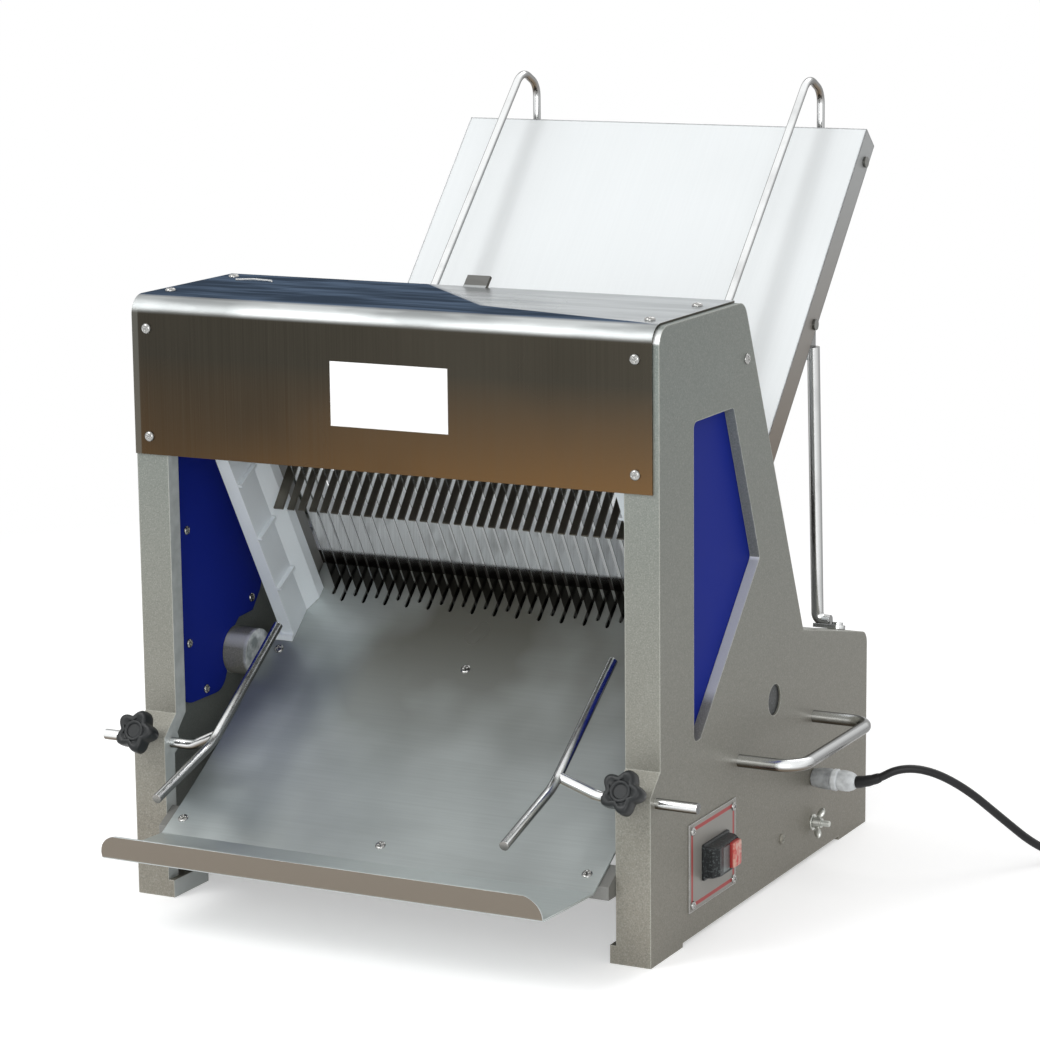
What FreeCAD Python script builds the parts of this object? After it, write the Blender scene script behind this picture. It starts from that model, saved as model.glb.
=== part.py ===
"""Electric bench bread slicer: thirty-one reciprocating blades between two cast side frames.

X runs across the machine, Y from the front to the rear and Z up, all in millimetres.
Sizes are counted from the front face of the lower legs and from the surface it stands on.
The cell front_y then moves that face, so that the origin lies under the middle of the machine.
"""
import FreeCAD, Part
import Sketcher
import math
import os
from FreeCAD import Placement, Rotation, Vector

SIZES = [
    # the two cast side frames
    ("rail_gap", 2, "slide rails beside the rims of the side frames"),
    ("casting_depth", 34, "depth of the rim across the machine"),
    ("web_wall", 10, "thickness of the side wall inside the rim"),
    ("post_rim", 17, "thickness of the rim along the front post"),
    ("edge_rim", 10, "thickness of the rim along the other edges"),
    ("leg_top", 155, "height where the lower leg ends"),
    ("post_set_back", 21, "front face of the post behind that of the leg"),
    ("post_foot", 174, "height where the post starts"),
    ("frame_top", 567, "height of the side frames"),
    ("frame_top_back", 206, "rear end of the top edge"),
    ("base_front", 348, "where the sloping rear edge meets the motor base"),
    ("base_high", 234, "height of the motor base at its front"),
    ("base_low", 197, "height of the motor base at its rear"),
    ("base_back", 515, "rear face"),
    ("top_corner", 18, "radius of the two top corners"),
    ("base_corner", 14, "radius of the rear corner of the motor base"),
    ("window_front", 93, "front edge of the window"),
    ("window_top", 474, "top edge of the window"),
    ("window_top_back", 181, "rear end of the window's top edge"),
    ("window_point_y", 242, "rear point of the window"),
    ("window_point_z", 325, "height of the window's rear point"),
    ("window_foot_y", 107, "rear end of the window's foot"),
    ("window_foot_z", 184, "height of the window's foot"),
    ("window_corner", 6, "corner radius of the window"),
    ("foot_relief", 4, "height of the relief under the frame between its feet"),
    # plates screwed to the side frames
    ("plate_wall", 2, "thickness of the window plates"),
    # the cover over the blades
    ("sheet", 2, "thickness of the cover and chute sheet"),
    ("cover_low", 421, "lower edge of the cover"),
    ("cover_bend", 18, "outer bend radius of the cover"),
    ("cover_back", 196, "rear edge of the cover"),
    ("cover_right_gap", 6, "the cover ends this far inside the right outer face"),
    ("label_wide", 120, "width of the bare plate on the cover"),
    ("label_high", 59, "height of the bare plate"),
    ("label_mid_x", 3, "middle of the bare plate across"),
    ("label_mid_z", 490.5, "middle of the bare plate up"),
    ("label_wall", 0.6, "thickness of the bare plate"),
    # outfeed chute
    ("chute_gap", 10, "chute beside the rims of the side frames"),
    ("lip_front", 122, "fold of the lip in front of the legs"),
    ("lip_low", 75, "height of the lip's fold"),
    ("lip_rise", 22, "height of the turned-up lip"),
    ("lip_lean", 6, "forward lean of the lip over its height"),
    ("lip_corner", 20, "corner radius of the lip"),
    ("floor_front", 25, "where the chute floor starts, in front of the legs"),
    ("floor_low", 71, "height of the chute floor's start"),
    ("floor_slope", 28, "slope of the chute floor at its start, degrees"),
    ("floor_curve", 1124, "radius of the hollow chute floor"),
    ("floor_back", 251, "upper end of the chute floor"),
    ("blade_pitch", 12, "slice thickness, from blade to blade"),
    ("slot_wide", 4, "width of the blade slots in the chute"),
    ("slot_long", 30, "length of every other slot, seen from above"),
    ("slot_short", 25, "length of the slots between them"),
    ("notch_room", 3.5, "the chute's upper end reaches this far past the blade guards' inner faces"),
    ("notch_long", 44, "length of the notches at the chute's upper corners"),
    ("front_bar_y", -14, "front face of the bar under the chute's lower end"),
    ("rear_bar_y", 163, "front face of the bar under the chute's upper end"),
    ("chute_bar_wide", 24, "width of the bars under the chute"),
    ("chute_bar_high", 12, "height of these bars at their front face"),
    # blades and their frames
    ("blade_y", 236, "blade plane at the chute"),
    ("blade_z", 262, "height of that point"),
    ("blade_lean", 30.5, "forward lean of the blades from upright, degrees"),
    ("blade_wide", 13, "width of a blade"),
    ("blade_wall", 0.6, "thickness of a blade"),
    ("bar_up", 262, "upper blade bar above the chute, along the blades"),
    ("bar_down", 125, "lower blade bar below the chute, along the blades"),
    ("bar_high", 16, "height of a blade bar"),
    ("bar_deep", 15, "depth of a blade bar"),
    ("side_room", 26, "last blade to the side member of a blade frame"),
    ("member_wide", 12, "width of a side member"),
    ("rail_room", 14, "side member to the outer face of a slide rail"),
    ("rail_over", 24, "a slide rail rises this far above the upper blade bar's lower face"),
    ("rail_under", 10, "a slide rail ends this far above the lower blade bar's upper face"),
    ("rail_foot_up", 37, "foot of a slide rail above the rail's lower end"),
    ("rail_foot_high", 30, "height of that foot"),
    ("rail_head_high", 14, "height of the foot at a slide rail's upper end"),
    ("guard_gap", 5, "blade guards inside the side members"),
    ("guard_step", 8, "a guard's lip steps in this far beside the blades"),
    ("guard_foot_y", 181.5, "front end of a guard's foot on the chute"),
    ("guard_top", 243, "top of a blade guard, along the blades"),
    ("running_gap", 0.05, "radial clearance of running fits"),
    ("seat_gap", 0.3, "clearance where separate pieces meet"),
    ("stroke", 30, "travel of each blade frame"),
    # crank drive
    ("crank_drop", 215, "crankshaft below the chute, along the blades"),
    ("pin_dia", 12, "diameter of the wrist pins"),
    ("wrist_drop", 155, "wrist pins below the chute, along the blades"),
    ("rod_eye", 24, "outer diameter of the connecting rod eyes"),
    ("rod_wall", 14, "thickness of a connecting rod"),
    ("throw_in", 44, "connecting rods of frame A inside the belt drive"),
    ("throw_step", 60, "connecting rods of frame B inside those of frame A"),
    ("web_disc", 54, "diameter of the crank discs"),
    ("disc_wall", 8, "thickness of a crank disc"),
    ("journal_dia", 25, "diameter of the crankshaft"),
    ("pulley_in", 34, "middle of the belt drive inside the rims"),
    ("pulley_wide", 22, "width of the pulleys"),
    ("crank_pulley_dia", 100, "belt diameter on the crankshaft"),
    ("motor_pulley_dia", 50, "belt diameter on the motor"),
    ("belt_wall", 7, "depth of the belt"),
    ("belt_wide", 11, "width of the belt"),
    ("motor_y", 444, "motor axis behind the legs"),
    ("motor_z", 90, "motor axis height"),
    ("motor_dia", 126, "diameter of the motor housing"),
    ("motor_long", 190, "length of the motor housing"),
    ("motor_in", 50, "right end of the motor housing inside the belt drive"),
    ("motor_shaft_dia", 19, "diameter of the motor shaft"),
    # comb over the bread
    ("comb_low_y", 140, "lower edge of the comb"),
    ("comb_low_z", 352.5, "height of the comb's lower edge"),
    ("comb_slope", 52, "slope of the comb, degrees"),
    ("comb_long", 118, "length of the comb along its slope"),
    ("comb_slot", 5, "width of the comb's slots"),
    ("comb_slot_run", 30.5, "length of the comb's slots, seen from above"),
    ("comb_rail", 20, "side of the square rail that carries the comb"),
    # infeed tray and its guides
    ("tray_slope", 47.6, "slope of the infeed tray, degrees"),
    ("tray_gap", 9.5, "infeed tray beside the rims of the side frames"),
    ("tray_low", 250, "lower edge of the infeed tray"),
    ("tray_low_z", 291, "height of the tray's lower edge"),
    ("tray_back", 614, "upper edge of the infeed tray"),
    ("tray_flange", 28, "depth of the tray's side flanges"),
    ("tray_sheet", 1.5, "thickness of the tray"),
    ("pivot_y", 285, "lower tray bolt"),
    ("pivot_drop", 24.3, "lower tray bolt below the tray's upper face"),
    ("stay_y", 477, "tray bolt at the support rod"),
    ("stay_drop", 30.3, "that bolt below the tray's upper face"),
    ("cross_in", 6, "cross rod of the infeed guides in front of the tray's upper edge"),
    ("cross_drop", 26.1, "that cross rod below the tray's upper face"),
    ("bolt_dia", 8, "diameter of the tray bolts"),
    ("bolt_head_dia", 11, "diameter of their heads outside the tray"),
    ("bolt_head_wall", 2.8, "height of these heads"),
    ("nut_dia", 14, "diameter of their nuts"),
    ("nut_wall", 5, "height of the nuts"),
    ("wire_dia", 8, "wire of the infeed guides"),
    ("wire_in", 18, "infeed guides inside the last blades"),
    ("cross_dia", 12, "cross rod that carries the infeed guides"),
    ("wire_low_y", 300, "lower end of an infeed guide"),
    ("wire_rise", 78.2, "that end above the tray's upper face"),
    ("loop_rise", 84, "crown of an infeed guide above its cross rod"),
    ("loop_behind", 37, "rearmost line of an infeed guide's wire behind its cross rod"),
    ("clamp_wide", 20, "width of an infeed guide's clamp"),
    ("support_dia", 12.5, "diameter of the tray's support rods"),
    ("support_y", 492, "lower end of a support rod"),
    ("support_tongue", 4, "thickness of a support rod's flat ends"),
    # outfeed guides
    ("guide_dia", 10, "rod of the outfeed guides"),
    ("guide_y", 13, "cross rod of an outfeed guide"),
    ("guide_z", 148, "height of that cross rod"),
    ("guide_proud", 40, "the cross rod stands out of the side frame this far"),
    ("guide_in", 3, "guide bars inside the last blades"),
    ("guide_ahead", 116, "front end of a guide bar in front of its cross rod"),
    ("guide_behind", 103, "rear end of a guide bar behind its cross rod"),
    ("guide_bend", 70, "radius of a guide bar's bend"),
    ("knob_lean", 26, "upward tilt of a star knob, degrees"),
    ("knob_dia", 42, "diameter of a star knob"),
    ("knob_wall", 17, "thickness of a star knob"),
    ("knob_start", 28, "star knob in front of the guide rod's axis"),
    ("knob_screw_dia", 8, "clamping screw of a star knob"),
    # side fittings
    ("handle_dia", 12, "rod of a carrying handle"),
    ("handle_front", 194, "front leg of a carrying handle"),
    ("handle_back", 375, "rear leg of a carrying handle"),
    ("handle_z", 142.5, "height of a carrying handle"),
    ("handle_reach", 60, "a carrying handle stands out this far"),
    ("plug_y", 278, "access hole at the guide rods"),
    ("plug_z", 181, "height of the access hole"),
    ("plug_dia", 30, "diameter of the access hole"),
    ("switch_front", 80, "front edge of the switch plate"),
    ("switch_back", 184, "rear edge of the switch plate"),
    ("switch_low", 28, "lower edge of the switch plate"),
    ("switch_high", 110, "upper edge of the switch plate"),
    ("switch_wall", 1.2, "thickness of the switch plate"),
    ("box_front", 107, "front face of the switch box"),
    ("box_back", 165, "rear face of the switch box"),
    ("box_low", 51, "bottom of the switch box"),
    ("box_high", 85, "top of the switch box"),
    ("box_proud", 16, "the switch box stands out this far"),
    ("button_travel", 3, "travel of the push buttons"),
    ("gland_y", 375, "cable gland"),
    ("gland_z", 81.5, "height of the cable gland"),
    ("gland_dia", 22, "diameter of the gland's nut"),
    ("gland_body", 20, "length of the gland's body"),
    ("gland_nut", 7, "thickness of the gland's nut"),
    ("gland_nose", 18, "length of the gland's nose"),
    ("cord_dia", 8, "diameter of the mains cord"),
    ("stud_y", 374, "earth stud"),
    ("stud_z", 36.5, "height of the earth stud"),
    ("stud_dia", 6, "diameter of the earth stud"),
    ("rear_sheet", 1.5, "thickness of the rear cover and the base plate"),
    ("base_plate_z", 16, "height of the base plate"),
    ("base_plate_front", 262, "front edge of the base plate"),
]

BLADES = 31
LOBES = 5

doc = FreeCAD.newDocument("BreadSlicer")
sheet = doc.addObject("Spreadsheet::Sheet", "Sizes")


class Size:
    """A number together with the sheet expression that gives it."""

    def __init__(self, number, text):
        self.number = number
        self.text = text

    def __add__(self, other):
        other = as_size(other)
        return Size(self.number + other.number, f"({self.text} + {other.text})")

    def __sub__(self, other):
        other = as_size(other)
        return Size(self.number - other.number, f"({self.text} - {other.text})")

    def __mul__(self, other):
        other = as_size(other)
        return Size(self.number * other.number, f"({self.text} * {other.text})")

    def __truediv__(self, other):
        other = as_size(other)
        return Size(self.number / other.number, f"({self.text} / {other.text})")

    def __radd__(self, other):
        return as_size(other) + self

    def __rsub__(self, other):
        return as_size(other) - self

    def __rmul__(self, other):
        return as_size(other) * self

    def __neg__(self):
        return Size(-self.number, f"(-{self.text})")

    def __float__(self):
        return float(self.number)


def as_size(value):
    """Give a plain number the same form as a size from the sheet."""
    return value if isinstance(value, Size) else Size(value, f"({value!r})")


def sine(angle):
    """Sine of a size that holds degrees."""
    return Size(math.sin(math.radians(angle.number)), f"sin({angle.text})")


def cosine(angle):
    """Cosine of a size that holds degrees."""
    return Size(math.cos(math.radians(angle.number)), f"cos({angle.text})")


class Table:
    """The sizes of the sheet by name, such as size.half_width."""

    def __init__(self):
        self.rows = 0

    def add(self, name, content, number, note):
        self.rows += 1
        sheet.set(f"A{self.rows}", name)
        sheet.set(f"B{self.rows}", content)
        sheet.set(f"C{self.rows}", note)
        sheet.setAlias(f"B{self.rows}", name)
        setattr(self, name, Size(number, f"Sizes.{name}"))

    def derive(self, name, value, note):
        """Keep a worked-out size in a cell of its own."""
        self.add(name, "=" + value.text.replace("Sizes.", ""), value.number, note)


size = Table()
for size_name, size_value, size_note in SIZES:
    size.add(size_name, repr(size_value), size_value, size_note)
size.derive("lip_reach", size.lip_front + size.lip_lean + size.sheet * 0.9648,
            "foremost point in front of the legs")
size.derive("cross_y", size.tray_back - size.cross_in, "cross rod of the infeed guides")
size.derive("loop_back", size.cross_y + size.loop_behind, "rearmost line of an infeed guide's wire")
size.derive("front_y", (size.lip_reach - size.loop_back - size.wire_dia / 2) / 2,
            "the legs' front face in the part's frame")
size.derive("blade_span", size.blade_pitch * (BLADES - 1) / 2, "middle plane to the last blade")
size.derive("member_in", size.blade_span + size.side_room, "inner face of a frame's side member")
size.derive("rail_out", size.member_in + size.member_wide + size.rail_room,
            "outer face of a slide rail")
size.derive("rim_face", size.rail_out + size.rail_gap, "inner face of the rims")
size.derive("half_width", size.rim_face + size.casting_depth, "outer face of a side frame")
size.derive("web_face", size.half_width - size.web_wall, "inner face of the side walls")
size.derive("crank_y", size.blade_y + size.crank_drop * sine(size.blade_lean), "crankshaft axis")
size.derive("crank_z", size.blade_z - size.crank_drop * cosine(size.blade_lean), "its height")
size.derive("crank_radius", size.stroke / 2, "throw of the crank")
size.derive("frame_face", size.blade_wide / 2 + size.seat_gap, "blade plane to a blade frame")
size.derive("guard_in", size.member_in - size.guard_gap, "inner face of a blade guard")
size.derive("guard_tip", size.guard_in - size.guard_step, "inner face of a guard's lip")
size.derive("comb_half", size.guard_tip - size.seat_gap, "half width of the comb")
size.derive("chute_half", size.rim_face - size.chute_gap, "half width of the chute")
size.derive("notch_half", size.guard_in + size.notch_room, "half width of the chute's upper end")
size.derive("tray_half", size.rim_face - size.tray_gap, "half width of the infeed tray")
size.derive("wire_x", size.blade_span - size.wire_in, "infeed guides from the middle plane")
size.derive("guide_bar_x", size.blade_span - size.guide_in, "guide bars from the middle plane")
size.derive("guide_out", size.half_width + size.guide_proud, "outer end of a guide's cross rod")
size.derive("knob_x", size.half_width - size.casting_depth / 2, "star knobs")
size.derive("pulley_x", size.rim_face - size.pulley_in, "middle of the belt drive")
size.derive("throw_a", size.pulley_x - size.throw_in, "connecting rods of frame A")
size.derive("throw_b", size.throw_a - size.throw_step, "connecting rods of frame B")
size.derive("motor_right", size.pulley_x - size.motor_in, "right end of the motor housing")


def tray_height(y):
    """Height of the infeed tray's upper face at a depth y."""
    slope = sine(size.tray_slope) / cosine(size.tray_slope)
    return size.tray_low_z + (y - size.tray_low) * slope


size.derive("pivot_z", tray_height(size.pivot_y) - size.pivot_drop, "lower tray bolt")
size.derive("stay_z", tray_height(size.stay_y) - size.stay_drop, "tray bolt at the support rod")
size.derive("cross_z", tray_height(size.cross_y) - size.cross_drop, "cross rod of the guides")
size.derive("wire_low_z", tray_height(size.wire_low_y) + size.wire_rise, "lower end of a guide wire")
doc.recompute()


# ---------------------------------------------------------------- building helpers

def bind(thing, prop, value):
    """Set a property from a size, and bind it to the sheet."""
    value = as_size(value)
    if "Sizes." in value.text:
        thing.setExpression(prop, value.text)
    else:
        owner = thing
        *path, last = prop.split(".")
        for step in path:
            owner = getattr(owner, step)
        setattr(owner, last, value.number)


def place(thing, x=0, y=0, z=0, turn=None):
    """Put a piece in the part's frame, y counted from the legs' front face."""
    thing.Placement = Placement(Vector(0, 0, 0), turn or Rotation())
    thing.setExpression("Placement.Base.x", as_size(x).text)
    thing.setExpression("Placement.Base.y", (size.front_y + y).text)
    thing.setExpression("Placement.Base.z", as_size(z).text)
    return thing


def place_leaning(thing, x=0):
    """Put a piece on the blade plane: its own Z runs up along the blades."""
    place(thing, x, size.blade_y, size.blade_z)
    thing.setExpression("Placement.Rotation.Angle", "Sizes.blade_lean * 1deg")
    thing.Placement.Rotation.Axis = Vector(1, 0, 0)
    return thing


def new_body(label):
    """Start a body that may hold several separate solids."""
    body = doc.addObject("PartDesign::Body", label)
    body.Label = label
    body.AllowCompound = True
    return place(body)


def plane_of(body, role):
    """One of the origin planes of a body."""
    return next(item for item in body.Origin.OriginFeatures if item.Role == role)


def new_sketch(body, role, start):
    """A sketch on an origin plane, moved along that plane's normal to start."""
    sketch = body.newObject("Sketcher::SketchObject", body.Label + "_sketch")
    sketch.AttachmentSupport = (plane_of(body, role), [""])
    sketch.MapMode = "FlatFace"
    normal = -as_size(start) if role == "XZ_Plane" else as_size(start)
    sketch.setExpression("AttachmentOffset.Base.z", normal.text)
    return sketch


def pin_down(sketch, geometry, end, point):
    """Fix a point of a sketch by its two distances from the origin."""
    for kind, value in zip(("DistanceX", "DistanceY"), point):
        value = as_size(value)
        index = sketch.addConstraint(
            Sketcher.Constraint(kind, -1, 1, geometry, end, value.number))
        if "Sizes." in value.text:
            sketch.setExpression(f"Constraints[{index}]", value.text)


def draw_outline(sketch, points):
    """Draw a closed outline of straight lines through the points."""
    first = sketch.GeometryCount
    count = len(points)
    spots = [Vector(float(u), float(v), 0) for u, v in points]
    for index in range(count):
        line = Part.LineSegment(spots[index], spots[(index + 1) % count])
        sketch.addGeometry(line, False)
    for index in range(count):
        after = first + (index + 1) % count
        sketch.addConstraint(Sketcher.Constraint("Coincident", first + index, 2, after, 1))
    for index, point in enumerate(points):
        pin_down(sketch, first + index, 1, point)


def draw_circle(sketch, middle, radius):
    """Draw a circle."""
    radius = as_size(radius)
    spot = Vector(float(middle[0]), float(middle[1]), 0)
    index = sketch.addGeometry(Part.Circle(spot, Vector(0, 0, 1), radius.number), False)
    pin_down(sketch, index, 3, middle)
    rule = sketch.addConstraint(Sketcher.Constraint("Radius", index, radius.number))
    if "Sizes." in radius.text:
        sketch.setExpression(f"Constraints[{rule}]", radius.text)


def extrude(body, kind, sketch, length):
    """Pad or pocket a sketch towards +X, +Y or +Z and check that it did something."""
    doc.recompute()
    before = body.Shape.Volume if body.Tip else 0
    feature = body.newObject("PartDesign::" + kind, body.Label + "_" + kind.lower())
    feature.Profile = sketch
    bind(feature, "Length", length)
    forward = sketch.AttachmentSupport[0][0].Role != "XZ_Plane"
    feature.Reversed = forward == (kind == "Pocket")
    sketch.Visibility = False
    doc.recompute()
    if abs(body.Shape.Volume - before) < 1e-3:
        raise RuntimeError(f"{feature.Label} changed nothing")
    return feature


def pad(body, role, points, start, length):
    """Pad an outline."""
    sketch = new_sketch(body, role, start)
    draw_outline(sketch, points)
    return extrude(body, "Pad", sketch, length)


def pocket(body, role, points, start, length):
    """Cut an outline out of a body."""
    sketch = new_sketch(body, role, start)
    draw_outline(sketch, points)
    return extrude(body, "Pocket", sketch, length)


def boss(body, role, middles, radius, start, length, kind="Pad"):
    """Pad or cut one or more round shapes of the same radius."""
    sketch = new_sketch(body, role, start)
    for middle in middles:
        draw_circle(sketch, middle, radius)
    return extrude(body, kind, sketch, length)


def round_edges(body, radius, wanted):
    """Round the straight edges of a body that the test picks."""
    names = []
    for index, edge in enumerate(body.Shape.Edges):
        if edge.Curve.TypeId == "Part::GeomLine":
            ends = [body.Placement.inverse().multVec(v.Point) for v in edge.Vertexes]
            if wanted(ends[0], ends[-1]):
                names.append(f"Edge{index + 1}")
    if not names:
        raise RuntimeError(f"{body.Label} has no such edge")
    base = body.Tip
    fillet = body.newObject("PartDesign::Fillet", body.Label + "_fillet")
    fillet.Base = (base, names)
    bind(fillet, "Radius", radius)
    body.Tip = fillet
    doc.recompute()
    return fillet


def along(axis, u_name, v_name, corners, reach=0.6):
    """A test for edges along an axis that pass near one of the given corners."""
    def wanted(first, last):
        run = last - first
        if abs(getattr(run, axis)) < 0.9 * run.Length:
            return False
        middle = (first + last) * 0.5
        return any(abs(getattr(middle, u_name) - float(u)) < reach
                   and abs(getattr(middle, v_name) - float(v)) < reach for u, v in corners)
    return wanted


def repeat_x(body, feature, sketch, pitch, count):
    """Repeat a feature across the machine."""
    pattern = body.newObject("PartDesign::LinearPattern", body.Label + "_pattern")
    pattern.Originals = [feature]
    pattern.Direction = (sketch, ["H_Axis"])
    bind(pattern, "Length", pitch * (count - 1))
    pattern.Occurrences = count
    body.Tip = pattern
    doc.recompute()
    return pattern


def mirrored(label, source):
    """The same piece on the other side of the machine."""
    twin = doc.addObject("Part::Mirroring", label)
    twin.Label = label
    twin.Source = source
    twin.Normal = Vector(1, 0, 0)
    return twin


def drum(label, axis, radius, length, x=0, y=0, z=0):
    """A round bar along X, Y or Z that starts at the given point."""
    turn = {"X": Rotation(Vector(0, 1, 0), 90), "Y": Rotation(Vector(1, 0, 0), -90),
            "Z": Rotation()}[axis]
    bar = doc.addObject("Part::Cylinder", label)
    bar.Label = label
    bind(bar, "Radius", radius)
    bind(bar, "Height", length)
    return place(bar, x, y, z, turn)


def block(label, lengths, x=0, y=0, z=0):
    """A box with its lowest corner at the given point."""
    box = doc.addObject("Part::Box", label)
    box.Label = label
    for prop, value in zip(("Length", "Width", "Height"), lengths):
        bind(box, prop, value)
    return place(box, x, y, z)


def joined(label, pieces):
    """One solid made of several."""
    whole = doc.addObject("Part::MultiFuse", label)
    whole.Label = label
    whole.Shapes = pieces
    return whole


def without(label, base, tool):
    """A piece with another shape cut out of it."""
    rest = doc.addObject("Part::Cut", label)
    rest.Label = label
    rest.Base = base
    rest.Tool = tool
    return rest


def group(label, pieces):
    """Several separate solids that make one node, such as a set of screws."""
    kit = doc.addObject("Part::Compound", label)
    kit.Label = label
    kit.Links = pieces
    return kit


def bent_path(points, radii):
    """Straight runs through the points, joined by tangent arcs at the inner ones."""
    spots = [Vector(*(float(c) for c in point)) for point in points]
    edges = []
    start = spots[0]
    for before, corner, after, radius in zip(spots, spots[1:], spots[2:], radii):
        into = (corner - before).normalize()
        out = (after - corner).normalize()
        half_turn = into.getAngle(out) / 2
        setback = radius * math.tan(half_turn)
        first = corner - into * setback
        last = corner + out * setback
        bulge = (out - into).normalize()
        middle = corner + bulge * (radius / math.cos(half_turn) - radius)
        if (first - start).Length > 1e-6:
            edges.append(Part.LineSegment(start, first).toShape())
        edges.append(Part.Arc(first, middle, last).toShape())
        start = last
    edges.append(Part.LineSegment(start, spots[-1]).toShape())
    return Part.Wire(edges)


def round_bar(path, diameter):
    """Sweep a round section along a path and check its volume."""
    start = path.Edges[0]
    heading = start.tangentAt(start.FirstParameter)
    ring = Part.Wire(Part.makeCircle(diameter / 2, start.valueAt(start.FirstParameter), heading))
    solid = path.makePipeShell([ring], True, True)
    expected = math.pi * diameter ** 2 / 4 * path.Length
    if abs(solid.Volume / expected - 1) > 0.01:
        raise RuntimeError("a bent bar has the wrong volume")
    return solid


def feature(label, shape):
    """A piece whose shape is worked out here, placed from the sheet."""
    piece = doc.addObject("Part::Feature", label)
    piece.Label = label
    piece.Shape = shape
    return place(piece)


# ---------------------------------------------------------------- shared places

def floor_point(turned, below=0.0):
    """A point of the hollow chute floor, turned this many degrees on from its start."""
    angle = math.radians(size.floor_slope.number + turned)
    start = math.radians(size.floor_slope.number)
    curve = size.floor_curve.number
    y = -size.floor_front.number + curve * (math.sin(angle) - math.sin(start))
    z = size.floor_low.number + curve * (math.cos(start) - math.cos(angle))
    return y + below * math.sin(angle), z - below * math.cos(angle)


def floor_turn(y):
    """How far the chute floor has turned at a depth y, in degrees."""
    start = math.radians(size.floor_slope.number)
    rise = math.sin(start) + (y + size.floor_front.number) / size.floor_curve.number
    return math.degrees(math.asin(rise)) - size.floor_slope.number


def floor_height(y):
    """Height of the chute floor at a depth y."""
    return floor_point(floor_turn(y))[1]


# ---------------------------------------------------------------- side frames

FRAME_OUTLINE = [
    (0, 0), (size.base_back, 0), (size.base_back, size.base_low),
    (size.base_front, size.base_high), (size.frame_top_back, size.frame_top),
    (size.post_set_back, size.frame_top), (size.post_set_back, size.post_foot),
    (0, size.leg_top),
]
RIM_OUTLINE = [
    (size.post_rim, size.post_rim), (size.base_back - size.edge_rim, size.post_rim),
    (size.base_back - size.edge_rim, size.base_low - 8),
    (size.base_front - 8.6, size.base_high - 8.3),
    (size.frame_top_back - 6.6, size.frame_top - size.edge_rim),
    (size.post_set_back + size.post_rim, size.frame_top - size.edge_rim),
    (size.post_set_back + size.post_rim, size.post_foot - 2),
    (size.post_rim, size.leg_top - 5),
]
WINDOW_OUTLINE = [
    (size.window_front, size.window_foot_z), (size.window_foot_y, size.window_foot_z),
    (size.window_point_y, size.window_point_z), (size.window_top_back, size.window_top),
    (size.window_front, size.window_top),
]


def side_frame_casting():
    """The right side frame: an outer wall with a deep rim, a window and bosses inside."""
    body = new_body("side_frame_casting")
    pad(body, "YZ_Plane", FRAME_OUTLINE, size.rim_face, size.casting_depth)
    top_edges = [(size.frame_top_back, size.frame_top), (size.post_set_back, size.frame_top)]
    round_edges(body, size.top_corner, along("x", "y", "z", top_edges))
    low_edges = [(size.base_back, size.base_low)]
    round_edges(body, size.base_corner, along("x", "y", "z", low_edges))
    pocket(body, "YZ_Plane", RIM_OUTLINE, size.rim_face, size.casting_depth - size.web_wall)
    pocket(body, "YZ_Plane", WINDOW_OUTLINE, size.web_face, size.web_wall)
    round_edges(body, size.window_corner, along("x", "y", "z", WINDOW_OUTLINE))
    relief = [(size.post_rim * 4, 0), (size.base_back * 0.86, 0),
              (size.base_back * 0.86, size.foot_relief), (size.post_rim * 4, size.foot_relief)]
    pocket(body, "YZ_Plane", relief, size.rim_face, size.casting_depth)
    foot = [(0, 0), (60, 0), (60, size.post_rim), (0, size.post_rim)]
    pad(body, "YZ_Plane", foot, size.rim_face - 6, 8)
    wall_depth = size.web_face - size.rim_face
    crank = (size.crank_y, size.crank_z)
    guide = (size.guide_y, size.guide_z)
    pivot = (size.pivot_y, size.pivot_z)
    boss(body, "YZ_Plane", [(165, 203)], 23, size.rim_face - 4, wall_depth + 4)
    boss(body, "YZ_Plane", [pivot], 12, size.tray_half + size.seat_gap,
         size.web_face - size.tray_half - size.seat_gap)
    boss(body, "YZ_Plane", [crank], 26, size.rim_face + 4, wall_depth - 4)
    boss(body, "YZ_Plane", [guide], 12, size.rim_face, wall_depth)
    boss(body, "YZ_Plane", [guide], size.guide_dia / 2 + size.running_gap,
         size.rim_face - 1, size.casting_depth + 2, kind="Pocket")
    boss(body, "YZ_Plane", [(size.plug_y, size.plug_z)], size.plug_dia / 2, size.web_face,
         size.web_wall, kind="Pocket")
    boss(body, "YZ_Plane", [crank], size.journal_dia / 2 + 6 + size.seat_gap,
         size.rim_face + 3, size.casting_depth - size.web_wall - 3, kind="Pocket")
    boss(body, "YZ_Plane", [pivot], size.bolt_dia / 2 + size.running_gap,
         size.tray_half, size.web_face - size.tray_half, kind="Pocket")
    return body


def knob_axis(start, length, radius, label):
    """A round bar on the axis of the right star knob, from the guide rod forwards and up."""
    lean = size.knob_lean
    bar = doc.addObject("Part::Cylinder", label)
    bind(bar, "Radius", radius)
    bind(bar, "Height", length)
    place(bar, size.knob_x, size.guide_y - cosine(lean) * start,
          size.guide_z + sine(lean) * start)
    bar.Placement.Rotation = Rotation(Vector(1, 0, 0), 90 - lean.number)
    return bar


def side_frames():
    """Both side frames, with the threaded hole of the star knob."""
    casting = side_frame_casting()
    hole = knob_axis(0, 40, size.knob_screw_dia / 2 + size.running_gap, "knob_hole")
    right = without("right_side_frame", casting, hole)
    return [right, mirrored("left_side_frame", right)]


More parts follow.
